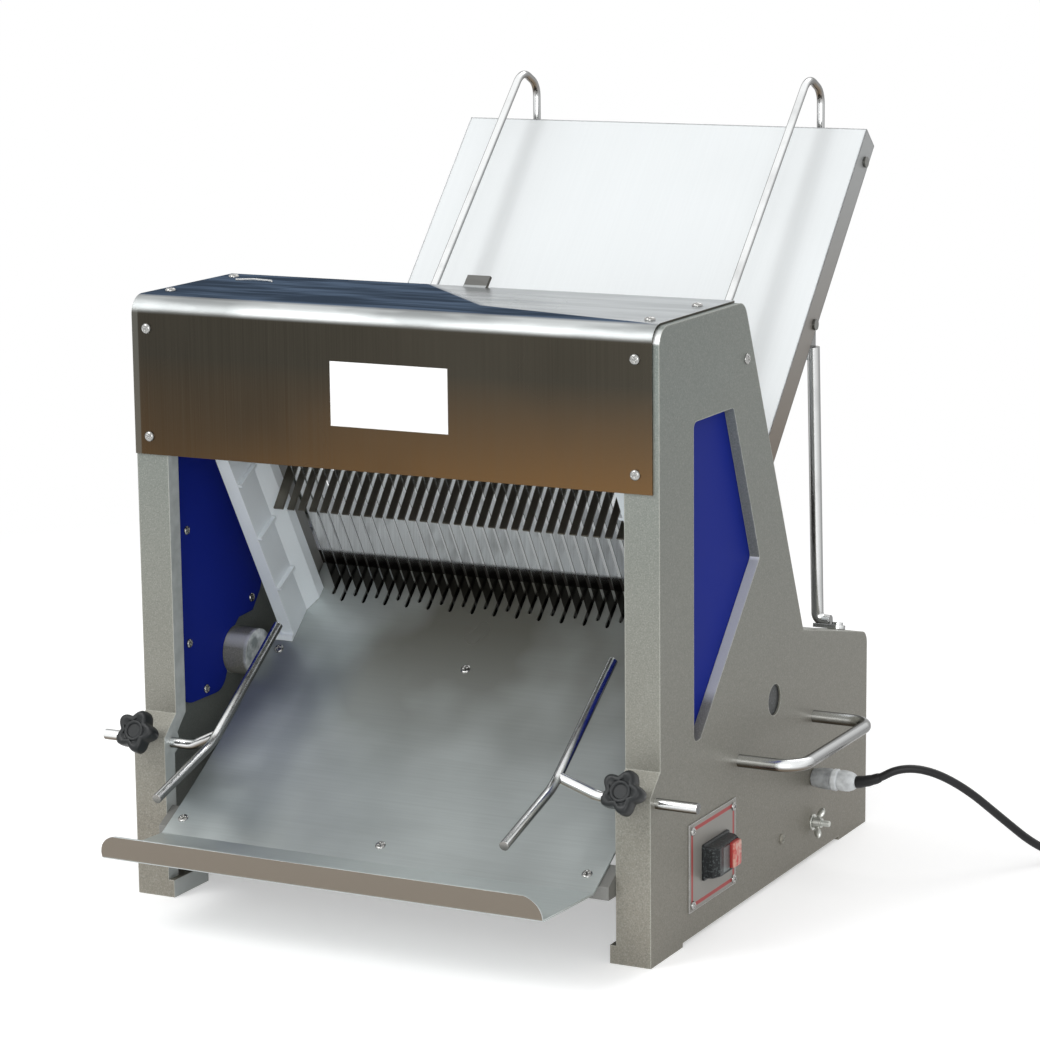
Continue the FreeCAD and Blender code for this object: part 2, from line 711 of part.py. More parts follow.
def window_plates():
    """The coloured plates that close the windows from inside."""
    body = new_body("right_window_plate")
    front = size.window_front - 30
    low = size.window_foot_z - 16
    toe = size.window_foot_y + 41
    top = size.window_top + 16
    outline = [
        (front, low), (toe, low), (toe, low + 46), (toe + 24, low + 66), (toe + 50, low + 68),
        (toe + 65, low + 86), (size.window_point_y - 18, size.window_point_z - 42),
        (size.window_point_y + 14, size.window_point_z), (size.window_top_back + 14, top),
        (front, top),
    ]
    start = size.web_face - size.seat_gap - size.plate_wall
    pad(body, "YZ_Plane", outline, start, size.plate_wall)
    round_edges(body, 22, along("x", "y", "z", [(front, low), (toe, low)]))
    boss(body, "YZ_Plane", [(165, 203)], 24.5, start, size.plate_wall, kind="Pocket")
    return [body, mirrored("left_window_plate", body)]


def screw_set(label, spots, axis, radius, length, start):
    """Low round screw heads whose flat face sits at start on the given axis."""
    heads = []
    for index, (u, v) in enumerate(spots):
        where = {"X": (start, u, v), "Y": (u, start, v), "Z": (u, v, start)}[axis]
        heads.append(drum(f"{label}_{index + 1}", axis, radius, length, *where))
    return group(label, heads)


def window_plate_screws():
    """Screws round the window plates, on both sides."""
    spots = [(82, 337), (81, 227), (109, 176), (196, 249), (76, 482)]
    inner = size.web_face - size.seat_gap - size.plate_wall
    right = screw_set("plate_screws_right", spots, "X", 4.5, 2.5, inner - 2.5)
    left = screw_set("plate_screws_left", spots, "X", 4.5, 2.5, -inner)
    return [group("window_plate_screws", [right, left])]


# ---------------------------------------------------------------- covers

def front_cover():
    """One bent sheet: the front above the blades and the top, with a lifting tab."""
    body = new_body("front_cover")
    face = size.post_set_back
    top = size.frame_top
    skin = size.sheet
    outline = [
        (face, size.cover_low), (face, top), (size.cover_back, top),
        (size.cover_back, top + skin), (face - skin, top + skin), (face - skin, size.cover_low),
    ]
    left = -size.half_width
    span = size.half_width * 2 - size.cover_right_gap
    pad(body, "YZ_Plane", outline, left, span)
    round_edges(body, size.cover_bend, along("x", "y", "z", [(face - skin, top + skin)]))
    round_edges(body, size.cover_bend - skin, along("x", "y", "z", [(face, top)]))
    tab = [(size.cover_back - 6, top + skin), (size.cover_back, top + skin),
           (size.cover_back + 8, top + 10), (size.cover_back + 5, top + 12),
           (size.cover_back - 3, top + skin + 2)]
    pad(body, "YZ_Plane", tab, -12, 24)
    return [body]


def cover_screws():
    """Round-head screws of the cover, in front and on top."""
    face = size.post_set_back - size.sheet
    front = [(-size.half_width + 16, size.cover_low + 118), (-size.half_width + 16, size.cover_low + 17),
             (size.half_width - 22, size.cover_low + 118), (size.half_width - 22, size.cover_low + 17)]
    top = [(-size.half_width + 17, 60), (-size.half_width + 17, 172),
           (size.half_width - 22, 50), (size.half_width - 22, 150)]
    heads = []
    for index, (x, z) in enumerate(front):
        heads.append(drum(f"cover_screw_front_{index + 1}", "Y", 5, 3, x, face - 3, z))
    for index, (x, y) in enumerate(top):
        height = size.frame_top + size.sheet
        heads.append(drum(f"cover_screw_top_{index + 1}", "Z", 5, 3, x, y, height))
    return [group("cover_screws", heads)]


def label_plate():
    """The bare plate on the cover."""
    face = size.post_set_back - size.sheet
    return [block("bare_plate", (size.label_wide, size.label_wall, size.label_high),
                  size.label_mid_x - size.label_wide / 2, face - size.label_wall,
                  size.label_mid_z - size.label_high / 2)]


# ---------------------------------------------------------------- outfeed chute


def chute_section():
    """Closed section of the chute sheet: turned-up lip, shelf and hollow floor."""
    skin = size.sheet.number
    fold = Vector(0, -size.lip_front.number, size.lip_low.number)
    lip = fold + Vector(0, -size.lip_lean.number, size.lip_rise.number)
    start = Vector(0, *floor_point(0))
    shelf_down = Vector(1, 0, 0).cross(start - fold).normalize() * -skin
    lip_out = Vector(1, 0, 0).cross(fold - lip).normalize() * -skin
    turn = floor_turn(size.floor_back.number)
    upper = [Vector(0, *floor_point(turn * share)) for share in (0, 0.5, 1)]
    lower = [Vector(0, *floor_point(turn * share, skin)) for share in (1, 0.5, 0)]
    corners = [lower[2], start + shelf_down, fold + shelf_down, fold + lip_out, lip + lip_out,
               lip, fold, start]
    edges = [Part.Arc(*upper).toShape(), Part.LineSegment(upper[2], lower[0]).toShape(),
             Part.Arc(*lower).toShape()]
    for first, last in zip(corners, corners[1:]):
        edges.append(Part.LineSegment(first, last).toShape())
    return Part.Face(Part.Wire(edges))


def space_under_floor(above):
    """Everything below a curve that runs this far above the chute floor."""
    turns = (floor_turn(120), floor_turn(200), floor_turn(size.floor_back.number + 25))
    curve = [Vector(-300, *floor_point(turn, -above)) for turn in turns]
    low = [Vector(-300, curve[2].y, -50), Vector(-300, curve[0].y, -50)]
    edges = [Part.Arc(*curve).toShape(), Part.LineSegment(curve[2], low[0]).toShape(),
             Part.LineSegment(low[0], low[1]).toShape(), Part.LineSegment(low[1], curve[0]).toShape()]
    return Part.Face(Part.Wire(edges)).extrude(Vector(600, 0, 0))


def chute_slots():
    """Upright cutters for the blade slots, alternately long and short."""
    cutters = []
    half = size.slot_wide.number / 2
    back = size.floor_back.number
    for index in range(BLADES):
        x = index * size.blade_pitch.number - size.blade_span.number
        run = size.slot_short.number if index % 2 == 0 else size.slot_long.number
        front = back - run + half
        cutter = Part.makeBox(2 * half, run, 120, Vector(x - half, front, 180))
        tip = Part.makeCylinder(half, 120, Vector(x, front, 180))
        cutters.append(cutter.fuse(tip))
    return cutters


def outfeed_chute():
    """The bent chute sheet with its slotted upper edge."""
    half = size.chute_half.number
    blank = chute_section()
    blank.translate(Vector(-half, 0, 0))
    blank = blank.extrude(Vector(2 * half, 0, 0))
    notch = size.notch_half.number
    notch_front = size.floor_back.number - size.notch_long.number
    radius = size.lip_corner.number
    top = size.lip_low.number + size.lip_rise.number
    cutters = chute_slots()
    for side in (-1, 1):
        cutters.append(Part.makeBox(60, 80, 120, Vector(
            min(side * notch, side * (notch + 60)), notch_front, 160)))
        corner = Part.makeBox(radius + 5, 40, radius + 5, Vector(
            min(side * (half - radius), side * (half + 5)), -150, top - radius))
        ring = Part.makeCylinder(radius, 60, Vector(side * (half - radius), -160, top - radius),
                                 Vector(0, 1, 0))
        cutters.append(corner.cut(ring))
    return [feature("outfeed_chute", blank.cut(Part.makeCompound(cutters)))]


def chute_bar(label, front, half):
    """A bar across the machine whose top lies just below the chute sheet."""
    bar = new_body(label)
    back = front + size.chute_bar_wide.number
    slope = size.floor_slope.number + floor_turn(back)
    bow = size.chute_bar_wide.number ** 2 / 8 / size.floor_curve.number
    gap = (size.sheet.number + bow + size.seat_gap.number) / math.cos(math.radians(slope))
    top = floor_height(front) - gap
    low = top - size.chute_bar_high.number
    outline = [(front, low), (back, low), (back, floor_height(back) - gap), (front, top)]
    pad(bar, "YZ_Plane", outline, -half, 2 * half)
    return bar


def chute_supports():
    """The bars under the chute, between the legs and between the side frames."""
    half = size.rim_face - size.seat_gap
    return [chute_bar("chute_front_bar", size.front_bar_y.number, half),
            chute_bar("chute_rear_bar", size.rear_bar_y.number, half - 4)]


def chute_screws():
    """Countersunk screws that hold the chute to its bars."""
    heads = []
    outer = size.chute_half - 12
    front = size.front_bar_y + 8
    rear = size.rear_bar_y + 11
    spots = [(-outer, front), (0, front), (outer - 3, front),
             (-outer, rear), (-6, rear), (outer, rear)]
    for index, (x, y) in enumerate(spots):
        lean = floor_turn(y.number) + size.floor_slope.number
        height = floor_height(y.number) + size.running_gap.number
        head = drum(f"chute_screw_{index + 1}", "Z", 5, 1.6, x, y, height)
        head.Placement.Rotation = Rotation(Vector(1, 0, 0), lean)
        heads.append(head)
    return [group("chute_screws", heads)]


# ---------------------------------------------------------------- comb and guards

def slice_comb():
    """The slotted plate over the bread and the rail that carries it."""
    comb = new_body("slice_comb")
    comb.Placement.Rotation = Rotation(Vector(1, 0, 0), size.comb_slope.number)
    place_at = (size.comb_low_y, size.comb_low_z)
    comb.setExpression("Placement.Base.y", (size.front_y + place_at[0]).text)
    comb.setExpression("Placement.Base.z", place_at[1].text)
    half = size.comb_half
    pad(comb, "XY_Plane", [(-half, 0), (half, 0), (half, size.comb_long), (-half, size.comb_long)],
        0, 2)
    run = size.comb_slot_run / cosine(size.comb_slope)
    first = -size.blade_span
    gap = size.comb_slot / 2
    slot = new_sketch(comb, "XY_Plane", 0)
    draw_outline(slot, [(first - gap, -1), (first + gap, -1), (first + gap, run - 1.5),
                        (first + gap - 1.5, run), (first - gap + 1.5, run), (first - gap, run - 1.5)])
    cut = extrude(comb, "Pocket", slot, 2)
    repeat_x(comb, cut, slot, size.blade_pitch, BLADES)
    rail = new_body("comb_rail")
    rail.Placement.Rotation = comb.Placement.Rotation
    rail.setExpression("Placement.Base.y", (size.front_y + place_at[0]).text)
    rail.setExpression("Placement.Base.z", place_at[1].text)
    top = size.comb_long - 2
    low = top - size.comb_rail
    end = size.web_face - size.plate_wall - 2 * size.seat_gap
    pad(rail, "XY_Plane", [(-end, low), (end, low), (end, top), (-end, top)],
        -size.comb_rail, size.comb_rail)
    return [comb, rail]


def blade_guards():
    """Upright channels in front of the outer blades, with ribs inside and a foot."""
    inner = size.guard_in
    tip = size.guard_tip
    body = place_leaning(new_body("guard_blank"))
    lip = inner + 14
    profile = [
        (inner, -66), (lip, -66), (lip, -63), (inner + 3, -63), (inner + 3, -33),
        (tip + 3, -18), (tip + 3, -7.3), (tip, -7.3), (tip, -19), (inner, -34),
    ]
    pad(body, "XY_Plane", profile, -40, size.guard_top + 40)
    for height in (49, 113, 179):
        pad(body, "XZ_Plane", [(inner - 4.5, height - 1.5), (inner, height - 1.5),
                               (inner, height + 1.5), (inner - 4.5, height + 1.5)], -66, 32)
    doc.recompute()
    shape = body.Shape.copy()
    shape.translate(Vector(0, -size.front_y.number, 0))
    shape = shape.cut(space_under_floor(0.3))
    foot = Part.makeBox(24, 30, 200, Vector(inner.number, size.guard_foot_y.number, 120))
    foot = foot.cut(space_under_floor(0.3)).common(space_under_floor(4.3))
    right = feature("right_blade_guard", shape.fuse(foot).removeSplitter())
    return [right, mirrored("left_blade_guard", right)]


# ---------------------------------------------------------------- blades and drive

def slide_rails():
    """T-shaped rails between the two blade frames, with feet against the side frames."""
    body = place_leaning(new_body("right_slide_rail"))
    half = size.blade_wide / 2
    member = size.member_in + size.member_wide
    web = size.member_in + 1
    outer = size.rail_out
    wing = half + 14
    profile = [
        (web, -half), (member + 2, -half), (member + 2, -wing), (outer, -wing), (outer, wing),
        (member + 2, wing), (member + 2, half), (web, half),
    ]
    bottom = size.rail_under - size.bar_down
    top = size.bar_up + size.rail_over
    pad(body, "XY_Plane", profile, bottom, top - bottom)
    foot_wall = size.web_face - size.seat_gap
    foot = bottom + size.rail_foot_up
    for low, high in ((foot, foot + size.rail_foot_high), (top - size.rail_head_high, top)):
        outline = [(outer - 1, low), (foot_wall, low), (foot_wall, high), (outer - 1, high)]
        pad(body, "XZ_Plane", outline, -12, 22)
    return [body, mirrored("left_slide_rail", body)]


def blade_frame(label, side, first_blade, count, throw):
    """A closed frame that carries every other blade, with lugs for two connecting rods."""
    body = place_leaning(new_body(label))
    half = size.frame_face
    near = -half - size.bar_deep if side < 0 else half
    outer = size.member_in + size.member_wide
    low = -size.bar_down
    sketch = new_sketch(body, "XZ_Plane", near)
    draw_outline(sketch, [(-outer, low - size.bar_high), (outer, low - size.bar_high),
                          (outer, size.bar_up + size.bar_high), (-outer, size.bar_up + size.bar_high)])
    draw_outline(sketch, [(-size.member_in, low), (size.member_in, low),
                          (size.member_in, size.bar_up), (-size.member_in, size.bar_up)])
    extrude(body, "Pad", sketch, size.bar_deep)
    hook_start = -half if side < 0 else -5
    hooks = new_sketch(body, "XZ_Plane", hook_start)
    for start, end in ((low - 10, low), (size.bar_up, size.bar_up + 10)):
        draw_outline(hooks, [(first_blade - 2, start), (first_blade + 2, start),
                             (first_blade + 2, end), (first_blade - 2, end)])
    hook = extrude(body, "Pad", hooks, half + 5)
    repeat_x(body, hook, hooks, size.blade_pitch * 2, count)
    lugs = new_sketch(body, "XZ_Plane", near)
    lug_low = -size.wrist_drop - 11
    inner = size.rod_wall / 2 + size.seat_gap
    for spot in (-throw, throw):
        for start, end in ((-inner - 6, -inner), (inner, inner + 6)):
            draw_outline(lugs, [(spot + start, lug_low), (spot + end, lug_low),
                                (spot + end, low - size.bar_high + 1),
                                (spot + start, low - size.bar_high + 1)])
    extrude(body, "Pad", lugs, size.bar_deep)
    middle = near + size.bar_deep / 2
    boss(body, "YZ_Plane", [(middle, -size.wrist_drop)], size.pin_dia / 2 + size.running_gap,
         -throw - 30, throw * 2 + 60, kind="Pocket")
    return body


def blade_set(label, first_blade, count):
    """Every other blade, held between the hooks of its frame."""
    body = place_leaning(new_body(label))
    sketch = new_sketch(body, "XZ_Plane", -size.blade_wide / 2)
    half = size.blade_wall / 2
    draw_outline(sketch, [(first_blade - half, -size.bar_down), (first_blade + half, -size.bar_down),
                          (first_blade + half, size.bar_up), (first_blade - half, size.bar_up)])
    blade = extrude(body, "Pad", sketch, size.blade_wide)
    repeat_x(body, blade, sketch, size.blade_pitch * 2, count)
    return body


def at_blades(across, up):
    """Depth and height of a point given across and along the blade plane."""
    lean = size.blade_lean
    y = size.blade_y + cosine(lean) * across - sine(lean) * up
    z = size.blade_z + sine(lean) * across + cosine(lean) * up
    return y, z


def connecting_rods(label, side, throw):
    """A pair of connecting rods with their wrist pins; the crank eye holds its pin."""
    across = (size.frame_face + size.bar_deep / 2) * side
    wrist = at_blades(across, -size.wrist_drop)
    crank = at_blades(size.crank_radius * side, -size.crank_drop)
    run = Vector(0, crank[0].number - wrist[0].number, crank[1].number - wrist[1].number)
    tilt = math.degrees(math.atan2(-run.y, run.z))
    wall = size.rod_wall
    rods = []
    for spot in (-throw, throw):
        name = f"{label}_{len(rods) + 1}"
        start = spot - wall / 2
        pieces = [
            drum(name + "_small_eye", "X", size.rod_eye / 2, wall, start, *wrist),
            drum(name + "_big_eye", "X", size.rod_eye / 2, wall, start, *crank),
            drum(name + "_pin", "X", size.pin_dia / 2, wall + 15, start - 7.5, *wrist),
        ]
        shank = doc.addObject("Part::Box", name + "_shank")
        bind(shank, "Length", wall - 4)
        shank.Width = 16
        shank.Height = run.Length
        spread = Rotation(Vector(1, 0, 0), tilt)
        edge = spread.multVec(Vector(0, -8, 0))
        place(shank, start + 2, wrist[0] + edge.y, wrist[1] + edge.z)
        shank.Placement.Rotation = spread
        rods.append(joined(name, pieces + [shank]))
    return group(label, rods)


def crankshaft():
    """Crank discs and journals in line; the throws between the discs belong to the rods."""
    axis = (size.crank_y, size.crank_z)
    gap = size.rod_wall / 2 + size.seat_gap
    disc = size.disc_wall
    stations = [-size.throw_a, -size.throw_b, size.throw_b, size.throw_a]
    end = size.web_face - 2
    starts = [-end] + [spot + gap for spot in stations]
    ends = [spot - gap for spot in stations] + [end]
    sections = []
    for index, (start, stop) in enumerate(zip(starts, ends)):
        pieces = [drum(f"journal_{index + 1}", "X", size.journal_dia / 2, stop - start, start, *axis)]
        if index > 0:
            pieces.append(drum(f"disc_left_{index}", "X", size.web_disc / 2, disc, start, *axis))
        if index < len(stations):
            pieces.append(drum(f"disc_right_{index}", "X", size.web_disc / 2, disc, stop - disc, *axis))
        sections.append(joined(f"crank_section_{index + 1}", pieces))
    return group("crankshaft", sections)


def crank_bearings():
    """Plain bearings of the crankshaft in the side frames."""
    axis = (size.crank_y, size.crank_z)
    start = size.rim_face + 5
    ring = drum("bearing_outside", "X", size.journal_dia / 2 + 6, 17, start, *axis)
    hole = drum("bearing_hole", "X", size.journal_dia / 2 + size.running_gap, 40, start - 10, *axis)
    right = without("bearing_right", ring, hole)
    return group("crank_bearings", [right, mirrored("bearing_left", right)])


def pulley(label, axis, belt_dia, bore, hub):
    """A grooved pulley with a hub towards the middle plane."""
    start = size.pulley_x - size.pulley_wide / 2
    belt = size.belt_wide + 2 * size.seat_gap
    disc = drum(label + "_disc", "X", belt_dia / 2 + 2, size.pulley_wide, start, *axis)
    hub_part = drum(label + "_hub", "X", hub, 10, start - 10, *axis)
    groove = size.pulley_x - belt / 2
    ring = without(label + "_ring",
                   drum(label + "_ring_out", "X", belt_dia / 2 + 5, belt, groove, *axis),
                   drum(label + "_ring_in", "X", belt_dia / 2 - 5, belt, groove, *axis))
    grooved = without(label + "_grooved", joined(label + "_blank", [disc, hub_part]), ring)
    hole = drum(label + "_bore", "X", bore, size.pulley_wide + 30, start - 20, *axis)
    return without(label, grooved, hole)


def loop_face(first, first_radius, second, second_radius, x):
    """The area inside a belt line round two circles."""
    run = Vector(0, *second) - Vector(0, *first)
    heading = Vector(0, run.y, run.z).normalize()
    side = Vector(0, -heading.z, heading.y)
    lean = math.asin((first_radius - second_radius) / run.Length)
    spots = []
    for hand in (1, -1):
        out = heading * math.sin(lean) + side * (hand * math.cos(lean))
        spots.append((Vector(x, *first) + out * first_radius, Vector(x, *second) + out * second_radius))
    back = Vector(x, *first) - heading * first_radius
    front = Vector(x, *second) + heading * second_radius
    edges = [
        Part.LineSegment(spots[0][0], spots[0][1]).toShape(),
        Part.Arc(spots[0][1], front, spots[1][1]).toShape(),
        Part.LineSegment(spots[1][1], spots[1][0]).toShape(),
        Part.Arc(spots[1][0], back, spots[0][0]).toShape(),
    ]
    return Part.Face(Part.Wire(edges))


def drive_belt():
    """The belt round both pulleys."""
    crank = (size.crank_y.number, size.crank_z.number)
    motor = (size.motor_y.number, size.motor_z.number)
    large = size.crank_pulley_dia.number / 2 - 5 + size.seat_gap.number
    small = size.motor_pulley_dia.number / 2 - 5 + size.seat_gap.number
    wall = size.belt_wall.number
    x = size.pulley_x.number - size.belt_wide.number / 2
    outside = loop_face(crank, large + wall, motor, small + wall, x)
    inside = loop_face(crank, large, motor, small, x)
    length = Vector(size.belt_wide.number, 0, 0)
    return feature("drive_belt", outside.extrude(length).cut(inside.extrude(length)))


def motor():
    """The motor on its foot, and its pulley with the motor shaft."""
    axis = (size.motor_y, size.motor_z)
    radius = size.motor_dia / 2
    left = size.motor_right - size.motor_long
    housing = drum("motor_housing", "X", radius, size.motor_long - 40, left + 20, *axis)
    end_left = drum("motor_end_left", "X", radius - 7, 20, left, *axis)
    end_right = drum("motor_end_right", "X", radius - 7, 20, size.motor_right - 20, *axis)
    foot_low = size.base_plate_z + size.rear_sheet + 0.1
    foot = block("motor_foot", (110, 96, size.motor_z - 40 - foot_low), left + 40,
                 size.motor_y - 48, foot_low)
    box = block("motor_terminals", (64, 60, 24), left + 60, size.motor_y - 30,
                size.motor_z + radius - 6)
    blank = joined("motor_blank", [housing, end_left, end_right, foot, box])
    shaft_gap = size.motor_shaft_dia / 2 + size.running_gap
    hole = drum("motor_hole", "X", shaft_gap, 60, size.motor_right - 40, *axis)
    whole = without("motor", blank, hole)
    shaft = drum("motor_shaft", "X", size.motor_shaft_dia / 2, size.pulley_x + 50 - size.motor_right,
                 size.motor_right - 36, *axis)
    wheel = pulley("motor_wheel", axis, size.motor_pulley_dia, size.motor_shaft_dia / 2 - 1, 14)
    return [whole, joined("motor_pulley", [wheel, shaft])]


def base_covers():
    """The base plate under the drive and the sheet cover behind it."""
    half = size.rim_face - size.seat_gap
    skin = size.rear_sheet
    plate = block("base_plate", (2 * half, size.base_back - 2 - size.base_plate_front, skin),
                  -half, size.base_plate_front, size.base_plate_z)
    cover = new_body("rear_cover")
    front = (size.base_front + 4, size.base_high - 2)
    top = (size.base_back - 8, size.base_low + 0.5)
    back = size.base_back - 2
    outline = [
        front, top, (back, size.base_low - 6), (back, size.base_plate_z + 2),
        (back - skin, size.base_plate_z + 2), (back - skin, size.base_low - 7),
        (top[0] - 1, top[1] - skin), (front[0], front[1] - skin),
    ]
    pad(cover, "YZ_Plane", outline, -half, 2 * half)
    return [plate, cover]


# ---------------------------------------------------------------- infeed

def infeed_tray():
    """The polished tray that slopes down to the blades, a channel with side flanges."""
    body = new_body("infeed_tray")
    body.Placement.Rotation = Rotation(Vector(1, 0, 0), size.tray_slope.number)
    body.setExpression("Placement.Base.y", (size.front_y + size.tray_low).text)
    body.setExpression("Placement.Base.z", size.tray_low_z.text)
    half = size.tray_half
    skin = size.tray_sheet
    deep = size.tray_flange
    length = (size.tray_back - size.tray_low) / cosine(size.tray_slope)
    profile = [
        (-half, 0), (-half, -deep), (-half + skin, -deep), (-half + skin, -skin),
        (half - skin, -skin), (half - skin, -deep), (half, -deep), (half, 0),
    ]
    pad(body, "XZ_Plane", profile, 0, length)
    lip = [(-half + skin, -12), (half - skin, -12), (half - skin, -skin), (-half + skin, -skin)]
    pad(body, "XZ_Plane", lip, length - skin, skin)
    hole = size.bolt_dia / 2 + size.running_gap
    spots = []
    along = cosine(size.tray_slope)
    across = sine(size.tray_slope)
    for y, z in ((size.pivot_y, size.pivot_z), (size.stay_y, size.stay_z),
                 (size.cross_y, size.cross_z)):
        run = y - size.tray_low
        rise = z - size.tray_low_z
        spots.append((run * along + rise * across, rise * along - run * across))
    boss(body, "YZ_Plane", spots, hole, -half - 1, 2 * half + 2, kind="Pocket")
    return body


def bolt_parts(label, y, z, inner, outer):
    """Shank and outer head of a tray bolt."""
    return [drum(label + "_shank", "X", size.bolt_dia / 2, outer - inner, inner, y, z),
            drum(label + "_head", "X", size.bolt_head_dia / 2, size.bolt_head_wall, outer, y, z)]


def tray_bolts():
    """Bolts of the tray: at the side frames, the support rods and the cross rod."""
    inner = size.tray_half - size.tray_sheet
    nut = size.nut_wall
    pivot = joined("pivot_bolt", [
        drum("pivot_head", "X", size.nut_dia / 2, nut, inner - nut, size.pivot_y, size.pivot_z),
        drum("pivot_shank", "X", size.bolt_dia / 2, size.web_face - 12 - inner + 1, inner - 1,
             size.pivot_y, size.pivot_z)])
    tongue = size.support_tongue + 2 * size.seat_gap
    stay = joined("stay_bolt", bolt_parts("stay", size.stay_y, size.stay_z, inner - tongue - nut,
                                          size.tray_half) + [
        drum("stay_nut", "X", size.nut_dia / 2, nut, inner - tongue - nut, size.stay_y, size.stay_z)])
    cross = joined("cross_bolt", bolt_parts("cross", size.cross_y, size.cross_z, inner - 8,
                                            size.tray_half))
    bolts = [pivot, stay, cross]
    return group("tray_bolts", bolts + [mirrored(item.Label + "_left", item) for item in bolts])


def infeed_cross_rod():
    """The rod between the tray's flanges that carries the infeed guides."""
    end = size.tray_half - size.tray_sheet - 0.1
    rod = drum("cross_rod_bar", "X", size.cross_dia / 2, 2 * end, -end, size.cross_y, size.cross_z)
    spots = [drum(f"cross_rod_hole_{index}", "X", size.bolt_dia / 2 + size.running_gap, 10, start,
                  size.cross_y, size.cross_z) for index, start in enumerate((-end, end - 10))]
    return without("infeed_cross_rod", rod, group("cross_rod_holes", spots))


def infeed_guides():
    """Wire loops over the tray on clamps that slide along the cross rod."""
    x = size.wire_x
    back = size.loop_back
    crown = size.cross_z + size.loop_rise
    points = [
        (x, size.wire_low_y, size.wire_low_z), (x, back - 34, crown), (x, back, crown - 17),
        (x, back, size.cross_z + 4), (x, size.cross_y + 8, size.cross_z + 1),
    ]
    wire = round_bar(bent_path(points, [22, 20, 9]), size.wire_dia.number)
    half = size.clamp_wide.number / 2
    clamp = Part.makeBox(2 * half, 24, 20, Vector(
        x.number - half, size.cross_y.number - 10, size.cross_z.number - 12))
    bore = size.cross_dia.number / 2 + size.running_gap.number
    hole = Part.makeCylinder(bore, 4 * half, Vector(
        x.number - 2 * half, size.cross_y.number, size.cross_z.number), Vector(1, 0, 0))
    right = feature("right_infeed_guide", wire.fuse(clamp).cut(hole).removeSplitter())
    return [right, mirrored("left_infeed_guide", right)]


def motor_base_top(y):
    """Height of the side frames' sloping top edge over the motor base, and its slope in degrees."""
    slope = (size.base_low - size.base_high).number / (size.base_back - size.base_front).number
    return size.base_high.number + slope * (y - size.base_front.number), math.degrees(math.atan(slope))


def support_foot(x, y):
    """The flat lower end of a support rod with its screw, lying on the side frame."""
    height, slope = motor_base_top(y)
    wall = size.support_tongue.number
    reach = 21
    tab = Part.makeBox(reach + 2, 16, wall, Vector(-2, -8, size.seat_gap.number))
    tab = tab.fuse(Part.makeCylinder(8, wall, Vector(reach, 0, size.seat_gap.number)))
    screw = Part.makeCylinder(5.5, 3, Vector(reach, 0, wall))
    foot = tab.fuse(screw)
    foot.rotate(Vector(0, 0, 0), Vector(1, 0, 0), slope)
    foot.translate(Vector(x, y, height))
    return foot


def support_rods():
    """Rods from the rear corners of the side frames up to the tray, flattened at both ends."""
    thick = size.support_dia.number
    tongue = size.support_tongue.number
    inner = size.tray_half.number - size.tray_sheet.number - size.seat_gap.number - tongue
    x = inner + thick / 2 - 1
    y = size.stay_y.number
    z = size.stay_z.number
    foot_y = size.support_y.number
    bend = motor_base_top(foot_y)[0] + thick / 2 + 1.3
    path = bent_path([(x, y, z - 22), (x, foot_y, bend), (x + 14, foot_y, bend)], [8])
    strap = Part.makeBox(tongue, 18, 34, Vector(inner, y - 9, z - 34))
    eye = Part.makeCylinder(9, tongue, Vector(inner, y, z), Vector(1, 0, 0))
    hole = Part.makeCylinder(size.bolt_dia.number / 2 + size.running_gap.number, 30,
                             Vector(inner - 15, y, z), Vector(1, 0, 0))
    shape = round_bar(path, thick).fuse(strap).fuse(eye).cut(hole).fuse(support_foot(x, foot_y))
    right = feature("right_support_rod", shape.removeSplitter())
    return [right, mirrored("left_support_rod", right)]


# ---------------------------------------------------------------- outfeed guides and fittings

def outfeed_guides():
    """Guide bars over the chute on rods that slide through the front posts."""
    y = size.guide_y.number
    z = size.guide_z.number
    bar_x = size.guide_bar_x.number
    thick = size.guide_dia.number
    path = bent_path([(size.guide_out, y, z), (bar_x + 34, y, z), (bar_x, y - 10, z + 16.5)], [26])
    rod = round_bar(path, thick)
    bend = (bar_x, y - 21, z + 9.5)
    front = (bar_x, y - size.guide_ahead.number, z - 19)
    back = (bar_x, y + size.guide_behind.number, z + 97)
    bar = round_bar(bent_path([front, bend, back], [size.guide_bend.number]), thick - 1)
    right = feature("right_outfeed_guide", rod.fuse(bar).removeSplitter())
    return [right, mirrored("left_outfeed_guide", right)]


def star_knobs():
    """Star knobs whose screws clamp the outfeed guides."""
    radius = size.knob_dia.number / 2
    wall = size.knob_wall.number
    lobe = radius * 0.34
    shape = Part.makeCylinder(radius * 0.72, wall)
    for index in range(LOBES):
        angle = 2 * math.pi * index / LOBES
        spot = Vector(math.cos(angle), math.sin(angle), 0) * (radius - lobe)
        shape = shape.fuse(Part.makeCylinder(lobe, wall, spot))
    shape = shape.removeSplitter()
    rims = [edge for edge in shape.Edges if abs(edge.BoundBox.ZLength) < 1e-6]
    shape = shape.makeFillet(2.5, rims)
    start = size.guide_dia.number / 2 + 0.5
    reach = size.knob_start.number
    stem = Part.makeCylinder(8, 6, Vector(0, 0, -5))
    thread = size.knob_screw_dia.number / 2
    screw = Part.makeCylinder(thread, reach - start + 1, Vector(0, 0, start - reach))
    shape = shape.fuse(stem).fuse(screw)
    lean = size.knob_lean
    right = feature("right_star_knob", shape)
    place(right, size.knob_x, size.guide_y - cosine(lean) * reach, size.guide_z + sine(lean) * reach)
    right.Placement.Rotation = Rotation(Vector(1, 0, 0), 90 - lean.number)
    return [right, mirrored("left_star_knob", right)]


